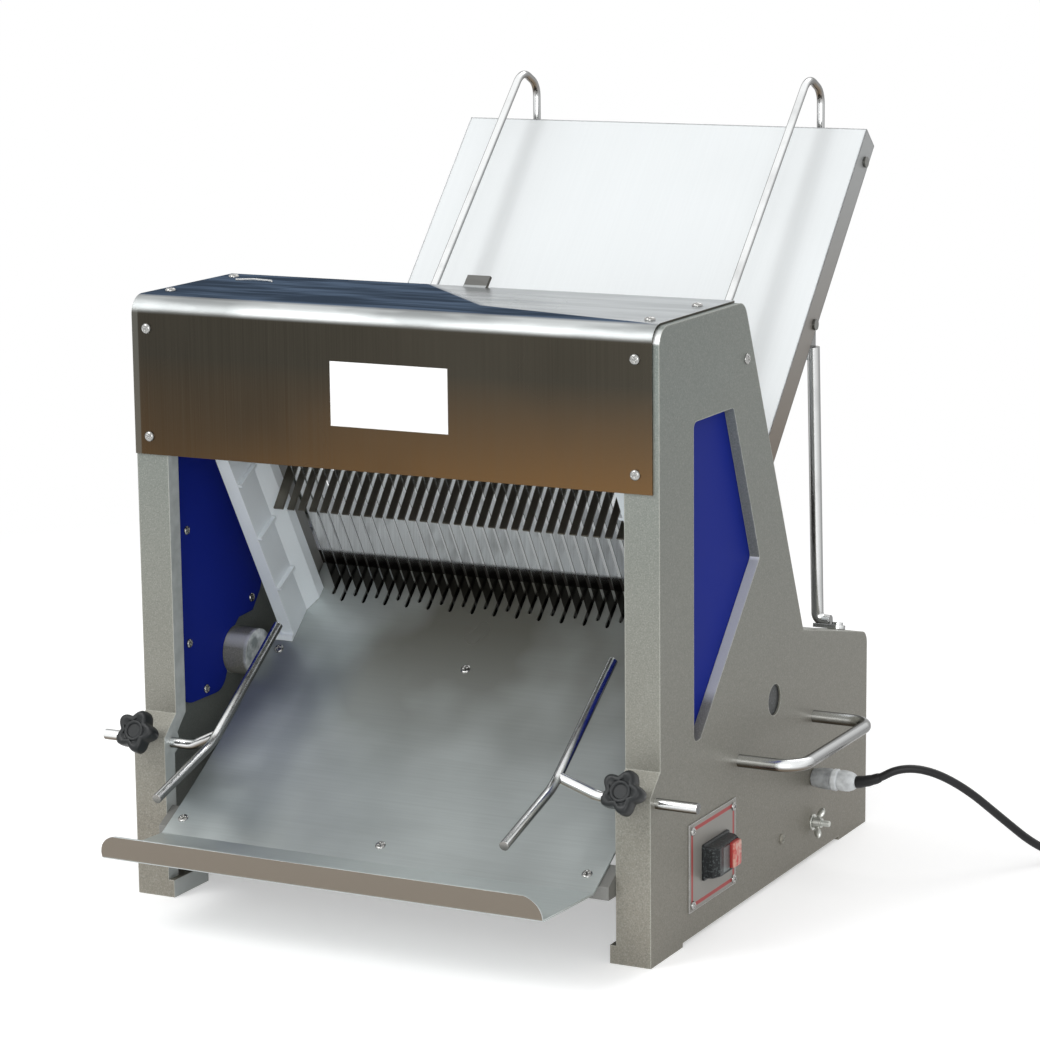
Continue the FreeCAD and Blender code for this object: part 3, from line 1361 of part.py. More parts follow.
def carry_handles():
    """U-shaped carrying handles on both sides."""
    out = size.half_width + size.handle_reach
    z = size.handle_z
    points = [(size.half_width, size.handle_front, z), (out, size.handle_front, z),
              (out, size.handle_back, z), (size.half_width, size.handle_back, z)]
    right = feature("right_carry_handle",
                    round_bar(bent_path(points, [22, 22]), size.handle_dia.number))
    return [right, mirrored("left_carry_handle", right)]


def hole_plugs():
    """Caps in the access holes of both side frames."""
    radius = size.plug_dia / 2 - 0.1
    plug = drum("plug_right", "X", radius, 6, size.half_width - 8, size.plug_y, size.plug_z)
    return group("hole_plugs", [plug, mirrored("plug_left", plug)])


def frame_screws():
    """Screws on the outside of both side frames."""
    head = drum("frame_screw_right", "X", 5, 2.5, size.half_width, 210, 514.5)
    low = drum("frame_screw_low", "X", 5, 2.5, size.half_width, 296, 40)
    sides = [mirrored(item.Label + "_left", item) for item in (head, low)]
    return group("frame_screws", [head, low] + sides)


def switch():
    """The switch on its plate on the right side frame."""
    face = size.half_width
    high = size.switch_high - size.switch_low
    plate = block("switch_plate", (size.switch_wall, size.switch_back - size.switch_front, high),
                  face, size.switch_front, size.switch_low)
    proud = face + size.switch_wall
    spots = [(size.switch_front + 7, size.switch_high - 7), (size.switch_back - 6, size.switch_high - 7),
             (size.switch_front + 7, size.switch_low + 6), (size.switch_back - 6, size.switch_low + 6)]
    screws = screw_set("switch_screws", spots, "X", 4, 2.4, proud)
    box = new_body("switch_box")
    outline = [(size.box_front, size.box_low), (size.box_back, size.box_low),
               (size.box_back, size.box_high), (size.box_front, size.box_high)]
    pad(box, "YZ_Plane", outline, proud, size.box_proud - size.switch_wall)
    outer = face + size.box_proud
    button_front = size.box_back - 28
    button_low = size.box_low + 6
    button_wide = 18
    button_high = 24
    gap = size.seat_gap
    seat = [(button_front - gap, button_low - gap), (button_front + button_wide + gap, button_low - gap),
            (button_front + button_wide + gap, button_low + button_high + gap),
            (button_front - gap, button_low + button_high + gap)]
    deep = size.button_travel + 5
    pocket(box, "YZ_Plane", seat, outer - deep, deep)
    button = block("switch_button", (deep + 4 - size.button_travel - gap, button_wide, button_high),
                   outer - deep + size.button_travel + gap, button_front, button_low)
    return [plate, screws, box, button]


def cable_gland():
    """The gland where the mains cord leaves."""
    axis = (size.gland_y, size.gland_z)
    radius = size.gland_dia / 2
    nut = size.half_width + size.gland_body
    nose = nut + size.gland_nut
    deep = size.gland_nose / 2
    parts = [drum("gland_body", "X", radius - 0.5, size.gland_body, size.half_width, *axis),
             drum("gland_nut", "X", radius, size.gland_nut, nut, *axis),
             drum("gland_shoulder", "X", radius - 1, deep, nose, *axis),
             drum("gland_nose", "X", radius - 3, deep, nose + deep, *axis)]
    bore = drum("gland_bore", "X", size.cord_dia / 2 + size.seat_gap, size.gland_nose, nose, *axis)
    return without("cable_gland", joined("gland_blank", parts), bore)


def earth_fitting():
    """The earth stud and its wing nut."""
    axis = (size.stud_y, size.stud_z)
    radius = size.stud_dia / 2
    stud = joined("earth_stud", [
        drum("stud_shank", "X", radius, 18, size.half_width, *axis),
        drum("stud_washer", "X", 8, 1.5, size.half_width, *axis)])
    start = size.half_width + 1.8
    hub = drum("wing_hub", "X", 5.5, 8, start, *axis)
    wing = block("wing_blades", (6, 3, 30), start + 2, size.stud_y - 1.5, size.stud_z - 15)
    hole = drum("wing_hole", "X", radius + size.running_gap, 30, start - 5, *axis)
    return [stud, without("wing_nut", joined("wing_blank", [hub, wing]), hole)]


def cover_clip():
    """A small wire staple on the cover."""
    high = size.frame_top + size.sheet
    points = [(-228, 150, high), (-228, 150, high + 5), (-205, 150, high + 5), (-205, 150, high)]
    return feature("cover_clip", round_bar(bent_path(points, [2.5, 2.5]), 2.5))


# ---------------------------------------------------------------- mains cord

CORD_ROUTE = [
    (313, 375, 81.5), (331, 375.5, 84.5), (354, 381, 99), (381, 393, 97), (411, 411, 78),
    (441, 432, 46), (468, 452, 17), (494, 468, 4.2), (524, 476, 4.2), (556, 477, 4.2),
]
COIL_SPOT = (575, 425)
COIL_MIDDLE = 44


def mains_cord():
    """The free cord, the coil of the rest of its length and the plug beside it."""
    thick = size.cord_dia.number
    spots = [Vector(*point) for point in CORD_ROUTE]
    radii = []
    for before, corner, after in zip(spots, spots[1:], spots[2:]):
        half_turn = (corner - before).getAngle(after - corner) / 2
        shorter = min((corner - before).Length, (after - corner).Length)
        radii.append(0.45 * shorter / math.tan(half_turn))
    cord = feature("cord", round_bar(bent_path(CORD_ROUTE, radii), thick))
    x, y = COIL_SPOT
    width = 1.5 * thick
    ring = Part.makeCylinder(COIL_MIDDLE + width, 2 * thick, Vector(x, y, 0))
    hollow = Part.makeCylinder(COIL_MIDDLE - width, 2 * thick, Vector(x, y, 0))
    coil = feature("cord_coil", ring.cut(hollow))
    side = x + COIL_MIDDLE
    neck = Part.makeCone(5, 7, 26, Vector(side, y - 18, 18), Vector(0, -1, 0))
    shell = Part.makeCylinder(18, 36, Vector(side, y - 40, 18), Vector(0, -1, 0))
    shell = shell.makeFillet(3, shell.Edges[:1] + shell.Edges[2:3])
    plug = neck.fuse(shell)
    for offset in (-9.5, 9.5):
        pin = Part.makeCylinder(2.4, 21, Vector(side + offset, y - 75, 18), Vector(0, -1, 0))
        plug = plug.fuse(pin)
    return [cord, coil, feature("plug", plug.removeSplitter())]


# ---------------------------------------------------------------- build and write

def first_blade(offset):
    """The leftmost blade of a frame."""
    return size.blade_pitch * offset - size.blade_span


nodes = []
nodes += side_frames()
nodes += window_plates()
nodes += window_plate_screws()
nodes += front_cover()
nodes += cover_screws()
nodes += label_plate()
nodes.append(cover_clip())
nodes += outfeed_chute()
nodes += chute_supports()
nodes += chute_screws()
nodes += slice_comb()
nodes += blade_guards()
nodes += slide_rails()
nodes.append(blade_frame("blade_frame_a", -1, first_blade(0), 16, size.throw_a))
nodes.append(blade_frame("blade_frame_b", 1, first_blade(1), 15, size.throw_b))
nodes.append(blade_set("blades_a", first_blade(0), 16))
nodes.append(blade_set("blades_b", first_blade(1), 15))
nodes.append(connecting_rods("connecting_rods_a", -1, size.throw_a))
nodes.append(connecting_rods("connecting_rods_b", 1, size.throw_b))
nodes.append(crankshaft())
nodes.append(crank_bearings())
crank_axis = (size.crank_y, size.crank_z)
nodes.append(pulley("crank_pulley", crank_axis, size.crank_pulley_dia,
                    size.journal_dia / 2 + size.running_gap, 20))
nodes.append(drive_belt())
nodes += motor()
nodes += base_covers()
nodes.append(infeed_tray())
nodes.append(tray_bolts())
nodes.append(infeed_cross_rod())
nodes += infeed_guides()
nodes += support_rods()
nodes += outfeed_guides()
nodes += star_knobs()
nodes += carry_handles()
nodes.append(hole_plugs())
nodes.append(frame_screws())
nodes += switch()
nodes.append(cable_gland())
nodes += earth_fitting()
nodes += mains_cord()
doc.recompute()

for item in doc.Objects:
    if "Invalid" in item.State or "Error" in item.State:
        raise RuntimeError(f"{item.Label} did not recompute: {item.State}")
for node in nodes:
    if node.Shape.isNull() or not node.Shape.isValid() or not node.Shape.Solids:
        raise RuntimeError(f"{node.Label} is not a valid solid")

os.makedirs("parts", exist_ok=True)
for node in nodes:
    node.Shape.exportStep(f"parts/{node.Label}.step")
print(len(nodes), "nodes written")
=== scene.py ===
"""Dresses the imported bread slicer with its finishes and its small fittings.

Each piece is an operator, and the main function calls them in order.
All places are in metres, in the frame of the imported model.
"""

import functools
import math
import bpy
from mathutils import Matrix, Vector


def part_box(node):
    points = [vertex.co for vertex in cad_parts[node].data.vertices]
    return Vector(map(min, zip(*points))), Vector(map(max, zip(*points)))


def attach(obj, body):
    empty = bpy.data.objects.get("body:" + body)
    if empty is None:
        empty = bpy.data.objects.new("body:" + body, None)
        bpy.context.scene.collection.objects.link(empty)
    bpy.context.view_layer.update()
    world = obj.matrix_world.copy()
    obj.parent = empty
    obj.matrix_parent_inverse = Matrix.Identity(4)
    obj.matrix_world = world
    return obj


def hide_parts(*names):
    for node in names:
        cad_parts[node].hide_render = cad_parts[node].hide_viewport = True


bl_info = {
    "name": "Bread slicer dressing",
    "version": (1, 0, 0),
    "blender": (4, 5, 0),
    "location": "3D Viewport > Sidebar > Slicer",
    "description": "Finishes, fastenings, mains cord and studio for a bench bread slicer",
    "category": "Object",
}

import bmesh
import bpy
from mathutils import Matrix, Vector

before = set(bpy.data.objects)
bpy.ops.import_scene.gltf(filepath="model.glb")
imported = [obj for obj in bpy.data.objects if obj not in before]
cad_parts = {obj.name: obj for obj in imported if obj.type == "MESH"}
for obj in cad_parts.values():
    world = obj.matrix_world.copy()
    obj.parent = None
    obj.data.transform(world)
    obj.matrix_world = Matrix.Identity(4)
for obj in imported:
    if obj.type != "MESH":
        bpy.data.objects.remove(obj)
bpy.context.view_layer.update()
LEG_FRONT = -0.259535


def from_leg(x, y, z):
    """A place in metres, given in millimetres with y counted from the legs' front face."""
    return Vector((x / 1000, y / 1000 + LEG_FRONT, z / 1000))


# Studio: the camera's focal length, place and turn, and each lamp's place, target and side.
LENS = 119.21
CAMERA_SPOT = from_leg(1492.8, -2631.95, 975.3)
CAMERA_YAW, CAMERA_PITCH, CAMERA_ROLL = (math.radians(angle) for angle in (27.148, 11.126, -0.627))
LAMPS = {
    "key": ((-1.5, -2.3, 2.7), (0, 0, 0.3), 1.6),
    "fill": ((1.2, -2.8, 0.85), (0, 0, 0.3), 1.4),
    "back": ((0.3, 2.2, 2.9), (0, 0.1, 0.4), 1.8),
}
FLOOR_HALF = 12
FLOOR_LIFT = 0.42

# Fittings on the right side: how far out their feet are, then how far back and how high.
SIDE_FACE = 0.2680
STUD_SPOT = (SIDE_FACE, 0.114465, 0.0365)
NUT_SPOT = (0.2698, 0.114465, 0.0365)
GLAND_SPOT = (SIDE_FACE, 0.115465, 0.0815)
SWITCH_SPOT = (0.2692, -0.1235, 0.0680)
BUTTON_SPOT = (0.2793, -0.1135, 0.0690)
NUT_TURN = -0.45

# The slope of the tray and the lean of the knobs' screws.
TRAY_SLOPE = math.radians(47.6)
KNOB_LEAN = math.radians(26)

# Places where the finishes change; a pair is the start and the end of the change.
COVER_WIDTH = (-0.26, 0.26)
# Heights where the cover's painted reflection of the ground gives way to its dark upper part.
COVER_REFLECTION_TO_DARK = (0.425, 0.515)
COVER_LEFT_END = (-0.2610, -0.2620)
COVER_TAB = (0.5705, 0.5710)
COVER_LEVEL = 0.566

# The line between the dark blue and the grey painted reflections on the cover's top, which turns steeper at
# its corner.
PARTING_BACK = -0.085
PARTING_SIDE = -0.027
PARTING_CORNER = 0.095
PARTING_STEEPER = 3.0

# The same for the chute, the tray, the frames and the fittings.
# Chute: where its painted shade, painted light and painted reflections change.
CHUTE_UNDER_COMB = (-0.20, -0.05)
CHUTE_TO_LIP = (-0.20, -0.35)
CHUTE_LEFT = (-0.105, -0.145)
CHUTE_BESIDE_GUIDE = (-0.31, -0.25)
CHUTE_LIP = (-0.376, -0.384)
# Height over which the painted shade on the tray's flanges turns from brown to grey.
TRAY_HEIGHT = (0.38, 0.66)
# Height below which the blades carry painted shade.
SHADE_BELOW_TRAY = (0.290, 0.300)
# Frames: heights of the warm and cool painted reflections.
FRAME_HEIGHT = (0.05, 0.50)
# Frames: where the painted highlight on the inner rims begins.
FRAME_INNER_RIM = (0.2365, 0.2350)
FRAME_BOSS = (0.2345, 0.2315)
ABOVE_FEET = (0.12, 0.14)
# Height above which the window sills carry a painted highlight.
WINDOW_SILL = (0.21, 0.22)
SWITCH_PANEL_OUT = (0.2822, 0.2830)
SWITCH_PANEL_ALONG = (-0.1375, -0.1365)
SWITCH_PANEL_FOOT = (0.0565, 0.0575)
SWITCH_PANEL_TOP = (0.0805, 0.0795)
SWITCH_PLATE_MARGIN = 0.0040
GLAND_NUT = (0.2880, 0.2886)
BUTTON_FACE = (0.2862, 0.2874)
LOW_SCREWS = 0.1


# ---------------------------------------------------------------- sizes and colours

def colour(name, description, default):
    """A colour that the user may change."""
    return bpy.props.FloatVectorProperty(
        name=name, description=description, subtype="COLOR", size=3, min=0, max=1, default=default)


def amount(name, description, default, unit="NONE"):
    """A length or a power that the user may change."""
    return bpy.props.FloatProperty(name=name, description=description, unit=unit, min=0, default=default)


distance = functools.partial(amount, unit="LENGTH")


class SlicerFinishes(bpy.types.PropertyGroup):
    """Colours of the slicer's finishes."""
    casting: colour("Casting", "Paint of the side frames", (0.235, 0.238, 0.215))
    window: colour("Window plates", "Enamel of the window plates", (0.010, 0.022, 0.235))
    cover: colour("Cover", "Brushed sheet over the blades, upper part", (0.050, 0.045, 0.035))
    # Colour of the painted reflection of the ground on the cover's lower edge.
    cover_low_reflection: colour("Cover, low", "Brushed sheet over the blades, lower edge", (0.175, 0.096, 0.038))
    # Colour of the dark blue painted reflection on the cover's level top.
    cover_top_reflection: colour("Cover, top", "Brushed sheet over the blades, level part", (0.060, 0.085, 0.125))
    chute: colour("Chute", "Brushed sheet of the chute", (0.42, 0.455, 0.45))
    tray: colour("Tray", "Polished sheet of the infeed tray", (0.80, 0.83, 0.84))
    comb: colour("Comb", "Steel of the slotted comb", (0.150, 0.138, 0.115))
    guard: colour("Guards", "Cast alloy of the blade guards", (0.78, 0.84, 0.88))
    blade: colour("Blades", "Steel of the blades", (0.93, 0.95, 0.96))
    rod: colour("Rods", "Bright steel of rods and screws", (0.62, 0.63, 0.63))
    moulding: colour("Mouldings", "Black knobs and switch box", (0.010, 0.012, 0.013))
    button: colour("Button", "Red moulding of the switch button", (0.56, 0.022, 0.016))
    bare: colour("Bare plate", "White plate on the cover", (0.90, 0.90, 0.89))
    gland: colour("Gland", "Cable gland", (0.50, 0.52, 0.53))
    sheath: colour("Sheath", "Sheath of the mains cord", (0.007, 0.007, 0.008))


class SlicerSizes(bpy.types.PropertyGroup):
    """Sizes of the slicer's small fittings."""
    cord: distance("Cord", "Diameter of the mains cord", 0.008)
    coil: distance("Coil", "Radius at the middle of the cord's coil", 0.044)
    recess: distance("Recess", "Depth of the cross recess in a screw head", 0.0012)
    relief: distance("Strain relief", "Length of the sleeve where the cord leaves its gland", 0.024)
    border: distance("Border", "Width of the line round the switch plate", 0.0036)
    edge: distance("Edge", "Rounding that the finishes show along edges", 0.0008)


class SlicerStudio(bpy.types.PropertyGroup):
    """Floor and lamps."""
    floor: colour("Floor", "Pale studio floor", (0.80, 0.80, 0.80))
    air: amount("Air", "Strength of the light from all round", 0.62)
    key: amount("Key lamp", "Power of the key lamp", 52)
    fill: amount("Fill lamp", "Power of the low front lamp", 26)
    back: amount("Back lamp", "Power of the high rear lamp", 24)


def finishes():
    return bpy.context.scene.slicer_finishes


def sizes():
    return bpy.context.scene.slicer_sizes


# ---------------------------------------------------------------- shared surface effects

class Tree:
    """A node tree with short calls for adding and joining nodes."""

    def __init__(self, tree):
        self.tree = tree

    def add(self, kind, **settings):
        node = self.tree.nodes.new(kind)
        for key, value in settings.items():
            setattr(node, key, value)
        return node

    def join(self, value, target):
        """Lead another socket into this one, or set it to a number or a colour."""
        if isinstance(value, bpy.types.NodeSocket):
            self.tree.links.new(value, target)
        elif isinstance(value, tuple) and len(target.default_value) == 4:
            target.default_value = (*value, 1)
        else:
            target.default_value = value

    def math(self, operation, *values):
        """A Math node fed with sockets or numbers."""
        node = self.add("ShaderNodeMath", operation=operation)
        for socket, value in zip(node.inputs, values):
            self.join(value, socket)
        return node.outputs[0]

    def times(self, *values):
        return functools.reduce(lambda first, second: self.math("MULTIPLY", first, second), values)

    def plus(self, *values):
        return functools.reduce(lambda first, second: self.math("ADD", first, second), values)

    def minus(self, first, second):
        return self.math("SUBTRACT", first, second)

    def span(self, value, marks, ends):
        """A value that goes from the first end to the second between two marks."""
        node = self.add("ShaderNodeMapRange")
        labels = ("Value", "From Min", "From Max", "To Min", "To Max")
        for label, number in zip(labels, (value, *marks, *ends)):
            self.join(number, node.inputs[label])
        return node.outputs[0]

    def rise(self, value, marks, most=1.0):
        """A mask of nothing at the first mark and the most at the second."""
        return self.span(value, marks, (0.0, most))

    def zone(self, *bounds):
        """A mask where every value in (value, marks) pairs is past its second mark."""
        return self.times(*(self.rise(value, marks) for value, marks in bounds))

    def blend(self, mask, low, high):
        """A colour that goes from low to high as the mask rises."""
        node = self.add("ShaderNodeMix", data_type="RGBA")
        for socket, value in zip((node.inputs["Factor"], node.inputs[6], node.inputs[7]), (mask, low, high)):
            self.join(value, socket)
        return node.outputs[2]

    def fade(self, low, high, value, marks, most=1.0):
        """A colour that goes from low to high between two marks of a value."""
        return self.blend(self.rise(value, marks, most), low, high)

    def noise(self, scale, detail=None, place=None):
        """Noise over the object's own frame, or over another place."""
        node = self.add("ShaderNodeTexNoise")
        self.join(scale, node.inputs["Scale"])
        if detail is not None:
            self.join(detail, node.inputs["Detail"])
        self.join(place or self.add("ShaderNodeTexCoord").outputs["Object"], node.inputs["Vector"])
        return node.outputs["Fac"]

    def split(self, socket):
        """The X, Y and Z of a vector."""
        parts = self.add("ShaderNodeSeparateXYZ")
        self.join(socket, parts.inputs[0])
        return tuple(parts.outputs)

    def places(self):
        """X, Y and Z of the point in the object's own frame."""
        return self.split(self.add("ShaderNodeTexCoord").outputs["Object"])

    def facings(self):
        """X, Y and Z of the surface's direction: to the side, back and up."""
        return self.split(self.add("ShaderNodeNewGeometry").outputs["Normal"])

    def effect(self, name, **values):
        """The outputs of a shared group, placed with its own values."""
        node = self.add("ShaderNodeGroup")
        node.node_tree = bpy.data.node_groups[name]
        for label, value in values.items():
            node.inputs[label].default_value = value
        return tuple(node.outputs)

    def edge_mask(self, width, **values):
        """The mask of outer edges, used for wear, for painted highlights along edges and for dark outlines.
        """
        return self.effect("worn_edge", Width=width, **values)[0]


class Finish(Tree):
    """A new material with its tree and its Principled shader."""

    def __init__(self, name):
        self.material = bpy.data.materials.new(name)
        self.material.use_nodes = True
        super().__init__(self.material.node_tree)
        self.shader = next(node for node in self.tree.nodes if node.type == "BSDF_PRINCIPLED")

    def close(self, tone, rough, relief, metallic=0.0, sheen=0.5):
        """The material with its colour, its roughness and its relief over rounded edges.

        Roughness is a socket, or a mask with a low and a high end; relief a height, strength and depth.
        """
        if isinstance(rough, tuple):
            rough = self.span(rough[0], (0.0, 1.0), rough[1:])
        height, strength, depth = relief
        bevel = self.add("ShaderNodeBevel", samples=4)
        bevel.inputs["Radius"].default_value = sizes().edge
        bump = self.add("ShaderNodeBump")
        bump.inputs["Strength"].default_value = strength
        bump.inputs["Distance"].default_value = depth
        self.join(height, bump.inputs["Height"])
        self.join(bevel.outputs["Normal"], bump.inputs["Normal"])
        for label, value in (("Base Color", tone), ("Roughness", rough), ("Metallic", metallic),
                             ("Specular IOR Level", sheen), ("Normal", bump.outputs["Normal"])):
            self.join(value, self.shader.inputs[label])
        return self.material


def start_group(name, inputs, outputs):
    """A shader group with named number inputs and outputs."""
    group = bpy.data.node_groups.new(name, "ShaderNodeTree")
    for label, default in inputs:
        kind = "NodeSocketVector" if isinstance(default, tuple) else "NodeSocketFloat"
        socket = group.interface.new_socket(label, in_out="INPUT", socket_type=kind)
        socket.default_value = default
    for label in outputs:
        group.interface.new_socket(label, in_out="OUTPUT", socket_type="NodeSocketFloat")
    tree = Tree(group)
    return tree, tree.add("NodeGroupInput").outputs, tree.add("NodeGroupOutput").inputs


def brushed_lines_group():
    """Fine lines along one direction, as a brush leaves them on sheet metal."""
    tree, given, result = start_group(
        "brushed_lines", [("Stretch", (6.0, 900.0, 900.0)), ("Cloud", 5.0)], ["Lines", "Cloud"])
    scaled = tree.add("ShaderNodeVectorMath", operation="MULTIPLY")
    tree.join(tree.add("ShaderNodeTexCoord").outputs["Object"], scaled.inputs[0])
    tree.join(given["Stretch"], scaled.inputs[1])
    tree.join(tree.noise(1, 3, scaled.outputs[0]), result["Lines"])
    tree.join(tree.noise(given["Cloud"], 3), result["Cloud"])


def surface_grain_group():
    """Even small grain over soft clouds, for paint, castings and mouldings."""
    tree, given, result = start_group(
        "surface_grain", [("Fineness", 900.0), ("Cloud", 6.0)], ["Grain", "Cloud"])
    tree.join(tree.noise(given["Fineness"], 2), result["Grain"])
    tree.join(tree.noise(given["Cloud"], 4), result["Cloud"])


def rounded_edge_group():
    """A mask that is bright along outer edges, broken up by noise."""
    tree, given, result = start_group("worn_edge", [("Width", 0.0015), ("Breakup", 90.0)], ["Wear"])
    bevel = tree.add("ShaderNodeBevel", samples=4)
    tree.join(given["Width"], bevel.inputs["Radius"])
    turned_away = tree.add("ShaderNodeVectorMath", operation="DOT_PRODUCT")
    tree.join(bevel.outputs["Normal"], turned_away.inputs[0])
    tree.join(tree.add("ShaderNodeNewGeometry").outputs["Normal"], turned_away.inputs[1])
    away = tree.minus(1.0, turned_away.outputs["Value"])
    clamped = tree.add("ShaderNodeClamp")
    tree.join(tree.times(away, 5.0, tree.noise(given["Breakup"])), clamped.inputs["Value"])
    tree.join(clamped.outputs[0], result["Wear"])


def tint(base, *amounts):
    """A colour made lighter or darker, by one amount or by one for each channel."""
    return tuple(min(1.0, max(0.0, channel * share)) for channel, share in zip(base, amounts * 3))


# ---------------------------------------------------------------- finishes

def brushed_finish(name, base, roughness, stretch=(6.0, 900.0, 900.0), wear_and_highlight=0.0):
    """Brushed sheet metal: fine lines in tone, roughness and relief over soft clouds."""
    tree = Finish(name)
    lines, cloud = tree.effect("brushed_lines", Stretch=stretch)
    shade = tree.plus(tree.times(lines, 0.6), tree.times(cloud, 0.4))
    tone = tree.fade(tint(base, 0.76), tint(base, 1.24), shade, (0.0, 1.0))
    # Edges brightened by wear and painted highlight.
    if wear_and_highlight:
        tone = tree.blend(tree.times(tree.edge_mask(0.0012), wear_and_highlight), tone, tint(base, 1.9))
    return tree.close(tone, (cloud, roughness * 0.85, roughness * 1.2), (lines, 0.35, 0.00004), metallic=1.0)


def cast_finish(name, base, metallic, roughness, grain=900.0, relief=0.25, wear_and_highlight=0.5, cloud=6.0, sheen=0.5):
    """Paint or bare metal on a casting: orange-peel grain, soft clouds and edges made bright by wear and
    painted highlight.
    """
    tree = Finish(name)
    grains, clouds = tree.effect("surface_grain", Fineness=grain, Cloud=cloud)
    tone = tree.blend(clouds, tint(base, 0.88), tint(base, 1.12))
    tone = tree.blend(tree.times(grains, 0.25), tone, tint(base, 1.35))
    if wear_and_highlight:
        tone = tree.blend(tree.times(tree.edge_mask(0.0016), wear_and_highlight), tone, tint(base, 1.7))
    rough = (clouds, roughness * 0.85, roughness * 1.15)
    return tree.close(tone, rough, (grains, relief, 0.0001), metallic, sheen)


def moulded_finish(name, base, roughness, grain=1600.0, dust=0.03):
    """Moulded plastic or rubber: fine texture, with a little dust in the clouds."""
    tree = Finish(name)
    grains, cloud = tree.effect("surface_grain", Fineness=grain, Cloud=30.0)
    dusty = tuple(channel * (1 - dust) + 0.32 * dust for channel in base)
    return tree.close(tree.blend(cloud, tuple(base), dusty), (cloud, roughness * 0.8, roughness * 1.2),
                      (grains, 0.2, 0.00006), sheen=0.3)


def cover_finish():
    """The cover's brushed sheet: dark above, with a warm painted reflection of the ground below, a painted
    highlight along its bend, and a dark blue and a grey painted reflection on its top.
    """
    own = finishes()
    tree = Finish("cover_sheet")
    lines, cloud = tree.effect("brushed_lines", Stretch=(900.0, 900.0, 7.0), Cloud=4.0)
    streaks = tree.effect("brushed_lines", Stretch=(9.0, 60.0, 1.0), Cloud=9.0)[0]
    x, y, z = tree.places()
    up = tree.facings()[2]
    # Painted reflection of the ground on the cover's lower part, lighter towards the right.
    low = tree.fade(tint(own.cover_low_reflection, 0.55), tint(own.cover_low_reflection, 1.1), x, COVER_WIDTH)
    high = tree.fade(tint(own.cover, 0.75), tint(own.cover, 1.25), x, COVER_WIDTH)
    tone = tree.fade(low, high, z, COVER_REFLECTION_TO_DARK)
    tone = tree.fade(tone, tint(own.cover, 0.55), cloud, (0.45, 0.70), 0.5)
    tone = tree.blend(tree.times(lines, 0.30), tone, tint(own.cover, 2.4))
    tone = tree.fade(tone, (0.17, 0.17, 0.15), x, COVER_LEFT_END, 0.6)

    # The level top carries painted reflections: dark blue on one side of a parting line, grey on the other.
    ahead = tree.minus(PARTING_BACK, y)
    corner = tree.math("MAXIMUM", tree.minus(ahead, PARTING_CORNER), 0.0)
    parting = tree.plus(PARTING_SIDE, ahead, tree.times(corner, PARTING_STEEPER))
    bright = tree.rise(tree.minus(x, parting), (-0.004, 0.006))
    veins = tree.rise(streaks, (0.40, 0.62))
    blue_crown_reflection = tree.blend(veins, tint(own.cover_top_reflection, 0.60), tint(own.cover_top_reflection, 1.35))
    grey_crown_reflection = tree.blend(veins, (0.30, 0.32, 0.33), (0.42, 0.44, 0.45))
    level = tree.rise(up, (0.90, 0.985))
    tone = tree.blend(level, tone, tree.blend(bright, blue_crown_reflection, grey_crown_reflection))

    # Painted highlight along the cover's bend, weaker on the tab above it.
    bend = tree.times(tree.zone((up, (0.12, 0.40)), (up, (0.985, 0.90))),
                      tree.span(z, COVER_TAB, (1.0, 0.25)))
    tone = tree.blend(bend, tone, tree.blend(veins, (0.31, 0.325, 0.325), (0.52, 0.54, 0.54)))
    dull = tree.times(level, tree.minus(1.0, bright))
    rough = tree.plus(tree.span(cloud, (0.0, 1.0), (0.2, 0.34)), tree.times(bend, 0.22))
    return tree.close(tone, rough, (lines, 0.3, 0.00004), tree.minus(1.0, dull),
                      tree.minus(0.5, tree.times(dull, 0.5)))


def chute_finish():
    """The chute's brushed sheet: painted light towards its lip, painted shade under the comb, a darker blue
    painted reflection at its left and a brown painted reflection with painted shade on the lip's front face.
    """
    base = tuple(finishes().chute)
    tree = Finish("chute_sheet")
    lines, cloud = tree.effect("brushed_lines", Stretch=(14.0, 500.0, 500.0), Cloud=5.5)
    x, y, _ = tree.places()
    # Painted shade under the comb, then painted light towards the lip.
    tone = tree.fade(base, tint(base, 0.50, 0.46, 0.40), y, CHUTE_UNDER_COMB)
    tone = tree.fade(tone, tint(base, 1.2), y, CHUTE_TO_LIP)
    # Darker blue painted reflection at the left, beside the guide.
    left = tree.times(tree.zone((x, CHUTE_LEFT), (y, CHUTE_BESIDE_GUIDE)), 0.35)
    tone = tree.blend(left, tone, tint(base, 0.36, 0.46, 0.60))
    tone = tree.fade(tone, tint(base, 1.45), cloud, (0.40, 0.68), 0.75)
    tone = tree.fade(tone, tint(base, 0.5), lines, (0.35, 0.85), 0.16)
    # The lip's front face is painted darker and brown: painted shade with a painted reflection of the ground.
    lip = tree.zone((tree.facings()[1], (-0.72, -0.92)), (y, CHUTE_LIP))
    tone = tree.blend(lip, tone, (0.200, 0.172, 0.138))
    return tree.close(tone, (cloud, 0.24, 0.36), (lines, 0.12, 0.00003), metallic=0.55)


